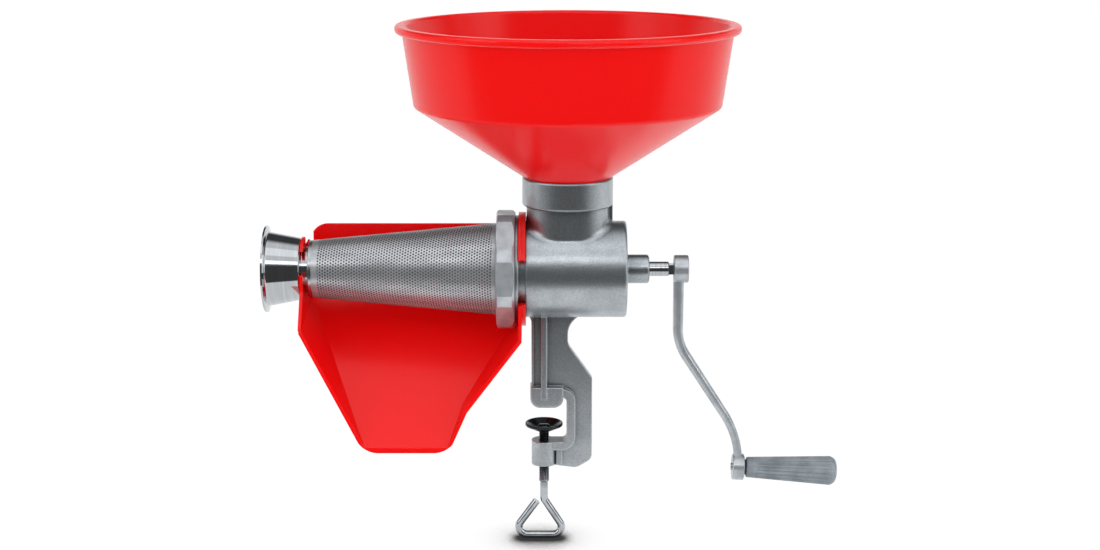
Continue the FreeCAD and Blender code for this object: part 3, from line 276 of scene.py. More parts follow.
def perforated_stainless(colours):
    """Punched stainless sheet, rolled to a cone: silvery, with faint streaks along the cone
    where the roll pressed harder."""
    material, tree, shader, place = new_finish("perforated_stainless")
    along = node(tree, "ShaderNodeMapping", {
        "Vector": place, "Location": (0.0, 0.0, -AXIS_Z), "Scale": (0.12, 1.0, 1.0)})
    streak = node(tree, "ShaderNodeTexNoise", {
        "Vector": along.outputs[0], "Scale": per_mm(7), "Detail": 2.0})
    tone = node(tree, "ShaderNodeMix", {
        0: between(tree, streak.outputs[0], 0.0, 1.0), 6: hex_colour("A8ABAF"), 7: colours.filter},
        data_type="RGBA")
    # Painted shade: the sheet's inside and the holes' walls, which don't face outwards, are painted near
    # black.
    across = node(tree, "ShaderNodeVectorMath", {
        0: along.outputs[0], 1: (0.0, 1.0, 1.0)}, operation="MULTIPLY").outputs[0]
    spoke = node(tree, "ShaderNodeVectorMath", {0: across}, operation="NORMALIZE").outputs[0]
    flat = node(tree, "ShaderNodeNewGeometry").outputs["True Normal"]
    facing = node(tree, "ShaderNodeVectorMath", {
        0: spoke, 1: flat}, operation="DOT_PRODUCT").outputs["Value"]
    outside = node(tree, "ShaderNodeMapRange", {0: facing, 1: 0.55, 2: 0.85}).outputs[0]
    painted_hole_shade = node(tree, "ShaderNodeMix", {
        0: outside, 6: hex_colour("2E2A29"), 7: tone.outputs[2]}, data_type="RGBA")
    # Painted shade: the side that hangs over the splash guard is darkened, and made less metallic so that it
    # mirrors little of the guard.
    hollow = node(tree, "ShaderNodeAmbientOcclusion", {"Distance": 70 * MM}, samples=4).outputs["AO"]
    painted_guard_shade = node(tree, "ShaderNodeMapRange", {0: hollow, 1: 0.3, 2: 0.8, 3: 0.8, 4: 0.0}).outputs[0]
    metallic_in_shade = node(tree, "ShaderNodeMapRange", {0: hollow, 1: 0.3, 2: 0.8, 3: 0.2, 4: 0.7}).outputs[0]
    shaded_by_guard = node(tree, "ShaderNodeMix", {
        0: painted_guard_shade, 6: painted_hole_shade.outputs[2], 7: hex_colour("474A4D")}, data_type="RGBA")
    tree.links.new(shaded_by_guard.outputs[2], shader.inputs["Base Color"])
    tree.links.new(metallic_in_shade, shader.inputs["Metallic"])
    tree.links.new(between(tree, streak.outputs[0], 0.40, 0.30), shader.inputs["Roughness"])
    return material


def chromed_rod(colours):
    """Drawn steel rod with thin bright plating: near-mirror, with slight waves from drawing, and
    rubbed dark along its thread."""
    material, tree, shader, place = new_finish("chromed_steel", Metallic=1.0)
    wave = node(tree, "ShaderNodeTexNoise", {"Vector": place, "Scale": per_mm(6), "Detail": 2.0})
    tone = node(tree, "ShaderNodeMix", {
        0: between(tree, wave.outputs[0], 0.0, 1.0), 6: hex_colour("A7ACB1"), 7: colours.chrome},
        data_type="RGBA")
    height = node(tree, "ShaderNodeSeparateXYZ", {0: place}).outputs[2]
    # Heights at which the thread's dark begins and is full.
    thread = node(tree, "ShaderNodeMapRange", {0: height, 1: -77 * MM, 2: -55 * MM}).outputs[0]
    worn = node(tree, "ShaderNodeMix", {
        0: thread, 6: tone.outputs[2], 7: colours.burnished}, data_type="RGBA")
    tree.links.new(worn.outputs[2], shader.inputs["Base Color"])
    tree.links.new(between(tree, wave.outputs[0], 0.20, 0.10), shader.inputs["Roughness"])
    roughen(tree, shader, wave.outputs[0], 0.10 * MM, 0.3)
    return material


def red_polypropylene(colours):
    """Injection-moulded polypropylene, dyed through: saturated red, half gloss, with a very
    slight orange peel and soft clouding from the melt's flow. Red light passes its thin walls."""
    material, tree, shader, place = new_finish(
        "red_polypropylene", IOR=1.49, Specular_IOR_Level=0.3, Subsurface_Weight=1.0,
        Subsurface_Radius=(1.0, 0.12, 0.08), Subsurface_Scale=10 * MM)
    flow = node(tree, "ShaderNodeTexNoise", {"Vector": place, "Scale": per_mm(150), "Detail": 0.0})
    tone = node(tree, "ShaderNodeMix", {
        0: flow.outputs[0], 6: colours.red, 7: hex_colour("E9150F")}, data_type="RGBA")
    tree.links.new(tone.outputs[2], shader.inputs["Base Color"])
    peel = node(tree, "ShaderNodeTexNoise", {"Vector": place, "Scale": per_mm(2.5), "Detail": 1.0})
    tree.links.new(between(tree, peel.outputs[0], 0.27, 0.23), shader.inputs["Roughness"])
    rounded = node(tree, "ShaderNodeBevel", {"Radius": 0.8 * MM}, samples=4).outputs[0]
    roughen(tree, shader, peel.outputs[0], 0.03 * MM, 0.3, rounded)
    return material


def moulded(name, colour, shade, roughness, grain_mm, ior=1.5):
    """A plain moulded or pressed stuff: even colour, slightly clouded, with a fine matt grain."""
    material, tree, shader, place = new_finish(name, IOR=ior)
    cloud = node(tree, "ShaderNodeTexNoise", {"Vector": place, "Scale": per_mm(grain_mm * 9), "Detail": 3.0})
    grain = node(tree, "ShaderNodeTexNoise", {"Vector": place, "Scale": per_mm(grain_mm), "Detail": 2.0})
    tone = node(tree, "ShaderNodeMix", {
        0: between(tree, cloud.outputs[0], 0.0, 1.0), 6: shade, 7: colour}, data_type="RGBA")
    tree.links.new(tone.outputs[2], shader.inputs["Base Color"])
    tree.links.new(between(tree, cloud.outputs[0], roughness * 1.15, roughness * 0.9),
                   shader.inputs["Roughness"])
    roughen(tree, shader, grain.outputs[0], 0.06 * MM, 0.3)
    return material


def paint(material, *names):
    """Give CAD nodes a finish."""
    for name in names:
        slots = frame["nodes"][name].data.materials
        slots.clear()
        slots.append(material)


def new_tree(name, inputs):
    """An empty geometry tree with named inputs, given as label to socket type."""
    tree = bpy.data.node_groups.new(name, "GeometryNodeTree")
    for label, kind in inputs.items():
        tree.interface.new_socket(label, in_out="INPUT", socket_type="NodeSocket" + kind)
    tree.interface.new_socket("Geometry", in_out="OUTPUT", socket_type="NodeSocketGeometry")
    return tree, node(tree, "NodeGroupInput").outputs


def end_tree(tree, geometry, material):
    """Close a tree with real geometry and its finish."""
    real = node(tree, "GeometryNodeRealizeInstances", {0: geometry})
    done = node(tree, "GeometryNodeSetMaterial", {"Geometry": real.outputs[0], "Material": material})
    node(tree, "NodeGroupOutput", {0: done.outputs[0]})


def grow(name, tree, values, start):
    """Run a tree on a start mesh, and keep what it makes as a plain mesh."""
    piece = bpy.data.objects.new(name, start)
    bpy.context.scene.collection.objects.link(piece)
    modifier = piece.modifiers.new(tree.name, "NODES")
    modifier.node_group = tree
    for socket in tree.interface.items_tree:
        if socket.in_out == "INPUT" and socket.name in values:
            modifier[socket.identifier] = values[socket.name]
    bpy.context.view_layer.update()
    whole = piece.evaluated_get(bpy.context.evaluated_depsgraph_get())
    mesh = bpy.data.meshes.new_from_object(whole)
    piece.modifiers.clear()
    piece.data = mesh
    mesh.name = name
    mesh.shade_smooth()
    mesh.set_sharp_from_angle(angle=math.radians(SHARP))
    return piece


def lathe(profile, steps, along=Vector((1, 0, 0)), out=Vector((0, -1, 0)), origin=Vector()):
    """Mesh of a closed profile [(along, out)] turned about an axis through the origin point."""
    work = bmesh.new()
    rows = []
    for step in range(steps):
        spin = Matrix.Rotation(2 * math.pi * step / steps, 3, along)
        rows.append([work.verts.new(origin + along * a + spin @ (out * r)) for a, r in profile])
    count = len(profile)
    for i in range(steps):
        here, there = rows[i], rows[(i + 1) % steps]
        for k in range(count):
            after = (k + 1) % count
            work.faces.new((here[k], here[after], there[after], there[k]))
    bmesh.ops.remove_doubles(work, verts=work.verts, dist=TOUCH)
    bmesh.ops.recalc_face_normals(work, faces=work.faces)
    mesh = bpy.data.meshes.new("turned")
    work.to_mesh(mesh)
    work.free()
    return mesh


def join(piece, meshes, sharp=SHARP):
    """Add closed meshes to a piece, under its own material."""
    slot = piece.data.polygons[0].material_index
    work = bmesh.new()
    for mesh in (piece.data, *meshes):
        work.from_mesh(mesh)
    for face in work.faces:
        face.smooth = True
        face.material_index = slot
    work.to_mesh(piece.data)
    work.free()
    piece.data.set_sharp_from_angle(angle=math.radians(sharp))


def punched_cell(pitch, hole, hole_inside):
    """One cell of the punched sheet: six faces between its hexagon and its six-sided hole.

    Its taper attribute says how far each corner of the hole draws in at the sheet's back.
    """
    sides = 6
    spots = []
    for reach in (pitch / math.sqrt(3), hole / 2):
        for k in range(sides):
            turn = 2 * math.pi * k / sides
            spots.append(Vector((reach * math.cos(turn), reach * math.sin(turn), 0)))
    faces = [(k, (k + 1) % sides, sides + (k + 1) % sides, sides + k) for k in range(sides)]
    mesh = bpy.data.meshes.new("cell")
    mesh.from_pydata(spots, [], faces)
    taper = mesh.attributes.new("taper", "FLOAT_VECTOR", "POINT")
    for k in range(sides, 2 * sides):
        taper.data[k].vector = spots[k] * (hole_inside / hole - 1)
    return mesh


def perforated_cone_tree():
    """A flat ring sector tiled with punched cells, given its thickness and rolled up to a cone."""
    tree, given = new_tree("Perforated cone", {
        "Cell": "Geometry", "Pitch": "Float", "Near arc": "Float", "Far arc": "Float",
        "Sector": "Float", "Sine": "Float", "Cosine": "Float", "Narrow end": "Float",
        "Axis height": "Float", "Narrow band": "Float", "Wide band": "Float", "Seam band": "Float",
        "Sheet": "Float", "Rows": "Int", "Columns": "Int", "Material": "Material"})
    place = node(tree, "GeometryNodeInputPosition").outputs[0]
    spot = node(tree, "ShaderNodeSeparateXYZ", {0: place}).outputs
    on_sheet = node(tree, "ShaderNodeCombineXYZ", {0: spot[0], 1: spot[1]}).outputs[0]
    reach = node(tree, "ShaderNodeVectorMath", {0: on_sheet}, operation="LENGTH").outputs["Value"]
    angle = node(tree, "ShaderNodeMath", {0: spot[1], 1: spot[0]}, operation="ARCTAN2").outputs[0]

    # Two square lattices make one staggered field of cells, trimmed to the sector's plain bands.
    row_step = node(tree, "ShaderNodeMath", {
        0: given["Pitch"], 1: math.sqrt(3)}, operation="MULTIPLY").outputs[0]
    sizes = [node(tree, "ShaderNodeMath", {
        0: node(tree, "ShaderNodeMath", {0: given[count], 1: 1.0}, operation="SUBTRACT").outputs[0],
        1: step}, operation="MULTIPLY").outputs[0]
        for count, step in (("Rows", row_step), ("Columns", given["Pitch"]))]
    field = node(tree, "GeometryNodeMeshGrid", {
        0: sizes[0], 1: sizes[1], 2: given["Rows"], 3: given["Columns"]}).outputs[0]
    arcs = node(tree, "ShaderNodeMath", {0: given["Near arc"], 1: given["Far arc"]}, operation="ADD")
    middle = node(tree, "ShaderNodeMath", {0: arcs.outputs[0], 1: 0.5}, operation="MULTIPLY").outputs[0]
    shifts = []
    for part in (0.0, 0.5):
        x = node(tree, "ShaderNodeMath", {
            0: row_step, 1: part, 2: middle}, operation="MULTIPLY_ADD").outputs[0]
        y = node(tree, "ShaderNodeMath", {0: given["Pitch"], 1: part}, operation="MULTIPLY").outputs[0]
        shifts.append(node(tree, "GeometryNodeTransform", {
            "Geometry": field,
            "Translation": node(tree, "ShaderNodeCombineXYZ", {0: x, 1: y}).outputs[0]}).outputs[0])
    lattice = node(tree, "GeometryNodeJoinGeometry")
    for shifted in shifts:
        tree.links.new(shifted, lattice.inputs[0])
    inner = node(tree, "ShaderNodeMath", {
        0: given["Near arc"], 1: given["Narrow band"]}, operation="ADD").outputs[0]
    outer = node(tree, "ShaderNodeMath", {
        0: given["Far arc"], 1: given["Wide band"]}, operation="SUBTRACT").outputs[0]
    too_near = node(tree, "FunctionNodeCompare", {0: reach, 1: inner}, operation="LESS_THAN").outputs[0]
    too_far = node(tree, "FunctionNodeCompare", {0: reach, 1: outer}, operation="GREATER_THAN").outputs[0]
    turned = node(tree, "ShaderNodeMath", {0: angle}, operation="ABSOLUTE").outputs[0]
    half = node(tree, "ShaderNodeMath", {0: given["Sector"], 1: 0.5}, operation="MULTIPLY").outputs[0]
    margin = node(tree, "ShaderNodeMath", {0: given["Seam band"], 1: reach}, operation="DIVIDE").outputs[0]
    room = node(tree, "ShaderNodeMath", {0: half, 1: margin}, operation="SUBTRACT").outputs[0]
    at_seam = node(tree, "FunctionNodeCompare", {0: turned, 1: room}, operation="GREATER_THAN").outputs[0]
    ends = node(tree, "FunctionNodeBooleanMath", {0: too_near, 1: too_far}, operation="OR").outputs[0]
    waste = node(tree, "FunctionNodeBooleanMath", {0: ends, 1: at_seam}, operation="OR").outputs[0]
    kept = node(tree, "GeometryNodeDeleteGeometry", {0: lattice.outputs[0], 1: waste}, domain="POINT")
    cells = node(tree, "GeometryNodeInstanceOnPoints", {
        "Points": kept.outputs[0], "Instance": given["Cell"]})
    loose = node(tree, "GeometryNodeRealizeInstances", {0: cells.outputs[0]})
    punched = node(tree, "GeometryNodeMergeByDistance", {
        "Geometry": loose.outputs[0], "Distance": 20 * TOUCH})

    # Thickness: the sheet's back lies below it, and the holes narrow towards it.
    back = node(tree, "GeometryNodeFlipFaces", {0: punched.outputs[0]})
    thick = node(tree, "GeometryNodeExtrudeMesh", {
        "Mesh": back.outputs[0], "Offset": (0.0, 0.0, -1.0), "Offset Scale": given["Sheet"],
        "Individual": False})
    below = node(tree, "FunctionNodeCompare", {0: spot[2], 1: -TOUCH}, operation="LESS_THAN").outputs[0]
    taper = node(tree, "GeometryNodeInputNamedAttribute", {"Name": "taper"}, data_type="FLOAT_VECTOR")
    tapered = node(tree, "GeometryNodeSetPosition", {
        "Geometry": thick.outputs[0], "Selection": below, "Offset": taper.outputs[0]})
    both = node(tree, "GeometryNodeJoinGeometry", {0: tapered.outputs[0]})
    tree.links.new(punched.outputs[0], both.inputs[0])
    closed = node(tree, "GeometryNodeMergeByDistance", {"Geometry": both.outputs[0], "Distance": TOUCH})
    plain = node(tree, "GeometryNodeRemoveAttribute", {"Geometry": closed.outputs[0], "Name": "taper"})

    # Rolling: distance from the sector's point runs along the cone, and its angle runs round it.
    along = node(tree, "ShaderNodeMath", {0: reach, 1: given["Near arc"]}, operation="SUBTRACT").outputs[0]
    x = node(tree, "ShaderNodeMath", {
        0: along, 1: given["Cosine"], 2: given["Narrow end"]}, operation="MULTIPLY_ADD").outputs[0]
    radius = node(tree, "ShaderNodeMath", {
        0: reach, 1: given["Sine"], 2: spot[2]}, operation="MULTIPLY_ADD").outputs[0]
    wound = node(tree, "ShaderNodeMath", {0: angle, 1: given["Sine"]}, operation="DIVIDE").outputs[0]
    fore = node(tree, "ShaderNodeMath", {0: wound}, operation="COSINE").outputs[0]
    up = node(tree, "ShaderNodeMath", {0: wound}, operation="SINE").outputs[0]
    forth = node(tree, "ShaderNodeMath", {0: radius, 1: fore}, operation="MULTIPLY").outputs[0]
    y = node(tree, "ShaderNodeMath", {0: forth, 1: -1.0}, operation="MULTIPLY").outputs[0]
    z = node(tree, "ShaderNodeMath", {
        0: radius, 1: up, 2: given["Axis height"]}, operation="MULTIPLY_ADD").outputs[0]
    rolled = node(tree, "GeometryNodeSetPosition", {
        "Geometry": plain.outputs[0],
        "Position": node(tree, "ShaderNodeCombineXYZ", {0: x, 1: y, 2: z}).outputs[0]})
    end_tree(tree, rolled.outputs[0], given["Material"])
    return tree


def pressed_in(tree, given, spoke, shares):
    """Sink what lies outside the core towards the axis, by the depth times all the shares."""
    out = node(tree, "ShaderNodeVectorMath", {0: spoke}, operation="LENGTH").outputs["Value"]
    outside = node(tree, "FunctionNodeCompare", {0: out, 1: given["Core"]}, operation="GREATER_THAN")
    press = given["Depth"]
    for share in (*shares, -1.0):
        press = node(tree, "ShaderNodeMath", {0: press, 1: share}, operation="MULTIPLY").outputs[0]
    unit = node(tree, "ShaderNodeVectorMath", {0: spoke}, operation="NORMALIZE").outputs[0]
    sink = node(tree, "ShaderNodeVectorMath", {0: unit, "Scale": press}, operation="SCALE").outputs[0]
    return node(tree, "GeometryNodeSetPosition", {
        "Geometry": given["Mesh"], "Selection": outside.outputs[0], "Offset": sink}).outputs[0]


def flute_tree():
    """Presses flutes into a turned grip: its rows near the middle sink between the ridges."""
    tree, given = new_tree("Grip flutes", {
        "Mesh": "Geometry", "Flutes": "Float", "Depth": "Float", "Start": "Float", "End": "Float",
        "Run-out": "Float", "Core": "Float", "Lean": "Rotation", "Eye": "Vector", "Material": "Material"})
    place = node(tree, "GeometryNodeInputPosition").outputs[0]
    spot = node(tree, "ShaderNodeSeparateXYZ", {0: place}).outputs
    angle = node(tree, "ShaderNodeMath", {0: spot[2], 1: spot[1]}, operation="ARCTAN2").outputs[0]
    turned = node(tree, "ShaderNodeMath", {0: angle, 1: given["Flutes"]}, operation="MULTIPLY").outputs[0]
    wave = node(tree, "ShaderNodeMath", {0: turned}, operation="COSINE").outputs[0]
    hollow = node(tree, "ShaderNodeMapRange", {0: wave, 1: -0.5, 2: 1.0, 3: 0.0, 4: 1.0}).outputs[0]
    shares = [hollow]
    for limit, inward in (("Start", "ADD"), ("End", "SUBTRACT")):
        full = node(tree, "ShaderNodeMath", {0: given[limit], 1: given["Run-out"]}, operation=inward)
        shares.append(node(tree, "ShaderNodeMapRange", {
            0: spot[0], 1: given[limit], 2: full.outputs[0]}, interpolation_type="SMOOTHSTEP").outputs[0])
    spoke = node(tree, "ShaderNodeCombineXYZ", {1: spot[1], 2: spot[2]}).outputs[0]
    placed = node(tree, "GeometryNodeTransform", {
        "Geometry": pressed_in(tree, given, spoke, shares), "Translation": given["Eye"],
        "Rotation": given["Lean"]})
    end_tree(tree, placed.outputs[0], given["Material"])
    return tree


def thread_tree():
    """Rolls a thread into an upright rod: each point sinks by its place in the turn."""
    tree, given = new_tree("Rolled thread", {
        "Mesh": "Geometry", "Pitch": "Float", "Depth": "Float", "Top": "Float", "Bottom": "Float",
        "Core": "Float", "Material": "Material"})
    place = node(tree, "GeometryNodeInputPosition").outputs[0]
    spot = node(tree, "ShaderNodeSeparateXYZ", {0: place}).outputs
    angle = node(tree, "ShaderNodeMath", {0: spot[1], 1: spot[0]}, operation="ARCTAN2").outputs[0]
    part = node(tree, "ShaderNodeMath", {0: angle, 1: 2 * math.pi}, operation="DIVIDE").outputs[0]
    turns = node(tree, "ShaderNodeMath", {0: spot[2], 1: given["Pitch"]}, operation="DIVIDE").outputs[0]
    phase = node(tree, "ShaderNodeMath", {0: turns, 1: part}, operation="SUBTRACT").outputs[0]
    ridge = node(tree, "ShaderNodeMath", {0: phase, 1: 0.5}, operation="PINGPONG").outputs[0]
    # Crest and root are each flat over 0.08 of the half turn's 0.5, and the flank runs between them.
    groove = node(tree, "ShaderNodeMapRange", {0: ridge, 1: 0.08, 2: 0.42, 3: 0.0, 4: 1.0}).outputs[0]
    shares = [groove]
    for limit, inward in (("Top", "SUBTRACT"), ("Bottom", "ADD")):
        full = node(tree, "ShaderNodeMath", {0: given[limit], 1: given["Pitch"]}, operation=inward)
        shares.append(node(tree, "ShaderNodeMapRange", {
            0: spot[2], 1: given[limit], 2: full.outputs[0]}).outputs[0])
    spoke = node(tree, "ShaderNodeCombineXYZ", {0: spot[0], 1: spot[1]}).outputs[0]
    end_tree(tree, pressed_in(tree, given, spoke, shares), given["Material"])
    return tree


def bent_line(corners, bend, steps):
    """Points of a line through (x, z) corners, with each inner corner rounded to the bend's radius."""
    corners = [Vector((x, 0, z)) for x, z in corners]
    points = [corners[0]]
    for before, here, after in zip(corners, corners[1:], corners[2:]):
        back = (before - here).normalized()
        ahead = (after - here).normalized()
        half = back.angle(ahead) / 2
        middle = here + (back + ahead).normalized() * (bend / math.sin(half))
        first = here + back * (bend / math.tan(half)) - middle
        last = here + ahead * (bend / math.tan(half)) - middle
        swing = first.rotation_difference(last)
        for k in range(steps + 1):
            points.append(middle + Quaternion().slerp(swing, k / steps) @ first)
    points.append(corners[-1])
    return points


def rod_along(points, radius, context):
    """Closed mesh of a round rod along a line of points."""
    curve = bpy.data.curves.new("loop", "CURVE")
    curve.dimensions = "3D"
    curve.bevel_depth = radius
    curve.bevel_resolution = 6
    curve.use_fill_caps = True
    spline = curve.splines.new("POLY")
    spline.points.add(len(points) - 1)
    for item, point in zip(spline.points, points):
        item.co = (*point, 1.0)
    helper = bpy.data.objects.new("loop", curve)
    context.scene.collection.objects.link(helper)
    context.view_layer.update()
    mesh = bpy.data.meshes.new_from_object(helper.evaluated_get(context.evaluated_depsgraph_get()))
    bpy.data.objects.remove(helper)
    work = bmesh.new()
    work.from_mesh(mesh)
    bmesh.ops.remove_doubles(work, verts=work.verts, dist=TOUCH)
    bmesh.ops.recalc_face_normals(work, faces=work.faces)
    work.to_mesh(mesh)
    work.free()
    return mesh


class MILL_OT_castings(bpy.types.Operator):
    """Finish the body casting, the ring nut and the crank"""
    bl_idname = "mill.castings"
    bl_label = "Castings"

    def execute(self, context):
        colours = context.scene.mill.colours
        paint(sand_cast_aluminium(colours), "body_casting")
        paint(smooth_cast_aluminium("tumbled_aluminium", colours, 0.75), "crank_arm")
        paint(smooth_cast_aluminium("oxidised_aluminium", colours, 0.6), "ring_nut")
        return {"FINISHED"}


class MILL_OT_plastics(bpy.types.Operator):
    """Finish the hopper and the splash guard"""
    bl_idname = "mill.plastics"
    bl_label = "Red plastic"

    def execute(self, context):
        paint(red_polypropylene(context.scene.mill.colours), "hopper", "splash_guard")
        # The barrel under the hopper should mirror none of its red.
        frame["nodes"]["hopper"].visible_glossy = False
        return {"FINISHED"}


class MILL_OT_steel(bpy.types.Operator):
    """Finish the shaft, the waste outlet and the filter's rings"""
    bl_idname = "mill.steel"
    bl_label = "Turned steel"

    def execute(self, context):
        colours = context.scene.mill.colours
        paint(turned_along_x("polished_stainless", colours.steel, hex_colour("B3B6B9"), 0.07, 2.4, 0.02),
              "waste_chute")
        paint(turned_along_x("ground_steel", colours.steel, hex_colour("A9ADB1"), 0.14, 1.2, 0.03),
              "drive_shaft", "drive_pin", "thrust_washer")
        paint(turned_along_x("pressed_stainless", colours.steel, hex_colour("A1A5A9"), 0.28, 1.6, 0.03),
              "filter_rim", "filter_end_ring")
        return {"FINISHED"}


class MILL_OT_inside(bpy.types.Operator):
    """Finish what sits inside the barrel: auger, seals and bush"""
    bl_idname = "mill.inside"
    bl_label = "Inner pieces"

    def execute(self, context):
        colours = context.scene.mill.colours
        paint(moulded("moulded_nylon", colours.nylon, hex_colour("7F7D77"), 0.42, 1.5, 1.53), "auger")
        paint(moulded("nitrile_rubber", hex_colour("1B1B1C"), hex_colour("232324"), 0.7, 1.2),
              "filter_gasket", "shaft_seal")
        paint(moulded("pressed_fibre", hex_colour("2A2B2D"), hex_colour("353638"), 0.6, 1.0), "grip_washer")
        paint(turned_along_x("turned_brass", hex_colour("C9A45A"), hex_colour("B08C45"), 0.25, 1.2, 0.03),
              "shaft_bush")
        return {"FINISHED"}


class MILL_OT_filter(bpy.types.Operator):
    """Punch and roll the filter cone from a flat sheet"""
    bl_idname = "mill.filter"
    bl_label = "Filter cone"

    def execute(self, context):
        sizes = context.scene.mill.filter
        node_low, node_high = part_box("filter_cone")
        rim_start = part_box("filter_rim")[0].x
        ring_low, ring_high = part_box("filter_end_ring")
        wide, narrow = (node_high.z - node_low.z) / 2, (ring_high.z - ring_low.z) / 2
        span = rim_start - node_low.x
        slant = math.hypot(wide - narrow, span)
        sine, cosine = (wide - narrow) / slant, span / slant
        near, far = narrow / sine, wide / sine
        sector = 2 * math.pi * sine
        # Cells beyond the sector's edges, which the tree trims off.
        spare = 4
        rows = int((far - near * math.cos(sector / 2)) / (sizes.pitch * math.sqrt(3))) + spare
        columns = int(2 * far * math.sin(sector / 2) / sizes.pitch) + spare
        cone = grow("filter_sheet", perforated_cone_tree(), {
            "Pitch": sizes.pitch, "Near arc": near, "Far arc": far, "Sector": sector, "Sine": sine,
            "Cosine": cosine, "Narrow end": node_low.x, "Axis height": AXIS_Z,
            "Narrow band": sizes.narrow_band, "Wide band": sizes.wide_band, "Seam band": sizes.seam / 3,
            "Sheet": sizes.sheet, "Rows": rows, "Columns": columns,
            "Material": perforated_stainless(context.scene.mill.colours)},
            punched_cell(sizes.pitch, sizes.hole, sizes.hole_inside))

        # Plain bands at both ends, and the lapped seam at the back, close the field of cells. They
        # stand a little proud of the punched sheet.
        band_lift, seam_lift = 0.03 * MM, 0.3 * MM
        band_steps, seam_steps = 96, 4

        def shell(x, lift):
            return narrow + (wide - narrow) * min(1.0, (x - node_low.x) / span) + lift

        def band(places):
            skin = [(x, shell(x, band_lift)) for x in places]
            skin += [(x, shell(x, -sizes.sheet)) for x in reversed(places)]
            return lathe(skin, band_steps, origin=Vector((0, 0, AXIS_Z)))

        narrow_band = band((node_low.x, node_low.x + sizes.narrow_band + sizes.pitch))
        wide_band = band((rim_start - sizes.wide_band - sizes.pitch, rim_start, node_high.x))
        seam = bmesh.new()
        rings = []
        for x in (node_low.x + sizes.pitch / 2, rim_start - sizes.pitch / 2):
            turns = [sizes.seam * (k / seam_steps - 0.5) / shell(x, 0) for k in range(seam_steps + 1)]
            outer, inner = shell(x, seam_lift), shell(x, -sizes.sheet)
            rings.append([seam.verts.new((x, out * math.cos(a), AXIS_Z + out * math.sin(a)))
                          for out, order in ((outer, turns), (inner, turns[::-1])) for a in order])
        count = len(rings[0])
        for k in range(count):
            after = (k + 1) % count
            seam.faces.new((rings[0][k], rings[0][after], rings[1][after], rings[1][k]))
        seam.faces.new(rings[0][::-1])
        seam.faces.new(rings[1])
        bmesh.ops.recalc_face_normals(seam, faces=seam.faces)
        strip = bpy.data.meshes.new("seam")
        seam.to_mesh(strip)
        seam.free()
        join(cone, (narrow_band, wide_band, strip))
        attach(cone, "filter_set")
        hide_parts("filter_cone")
        return {"FINISHED"}


class MILL_OT_grip(bpy.types.Operator):
    """Turn and flute the crank's grip, and finish its pin"""
    bl_idname = "mill.grip"
    bl_label = "Grip"

    def execute(self, context):
        sizes, colours = context.scene.mill.grip, context.scene.mill.colours
        hinge = next(j for j in frame["joints"] if j["name"] == "grip_spin")
        lean = math.atan2(-hinge["axis"][2], hinge["axis"][0])
        # The profile in millimetres: distance from the eye's middle along the pin, and radius.
        start, end = 7.0, 87.4
        bore, pocket, face, throat, swell = 3.06, 5.72, 7.6, 9.05, 3.55
        lead, row_step, rows = 1.2, 2.0, 35
        dome, dome_core, dome_reach = 7.0, 5.9, 6.95
        profile = [(start, bore), (start, face), (start + 0.35, 8.55), (start + lead, throat)]
        profile += [(start + lead + row_step * k, throat + swell * k / rows) for k in range(1, rows + 1)]
        profile += [(end - dome + dome * math.sin(t), dome_core + dome_reach * math.cos(t))
                    for t in (math.radians(a) for a in range(6, 91, 12))]
        profile += [(end - 0.5, pocket), (end - dome, pocket), (end - dome, bore)]
        steps_per_flute = 8
        turned = lathe([(a * MM, r * MM) for a, r in profile], sizes.flutes * steps_per_flute)
        finish = moulded("grey_abs", colours.grip, hex_colour("727C82"), 0.40, 1.4, 1.54)
        grip = grow("grip_fluted", flute_tree(), {
            "Flutes": float(sizes.flutes), "Depth": sizes.depth, "Start": start * MM + sizes.collar,
            "End": (end - 2.0) * MM, "Run-out": 6.0 * MM, "Core": 7.0 * MM, "Lean": (0.0, lean, 0.0),
            "Eye": hinge["pos_m"], "Material": finish}, turned)
        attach(grip, "grip")
        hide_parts("grip")
        paint(turned_along_x("plated_pin", colours.chrome, hex_colour("A7ACB1"), 0.18, 1.2, 0.02),
              "grip_pin", "crank_set_screw")
        return {"FINISHED"}


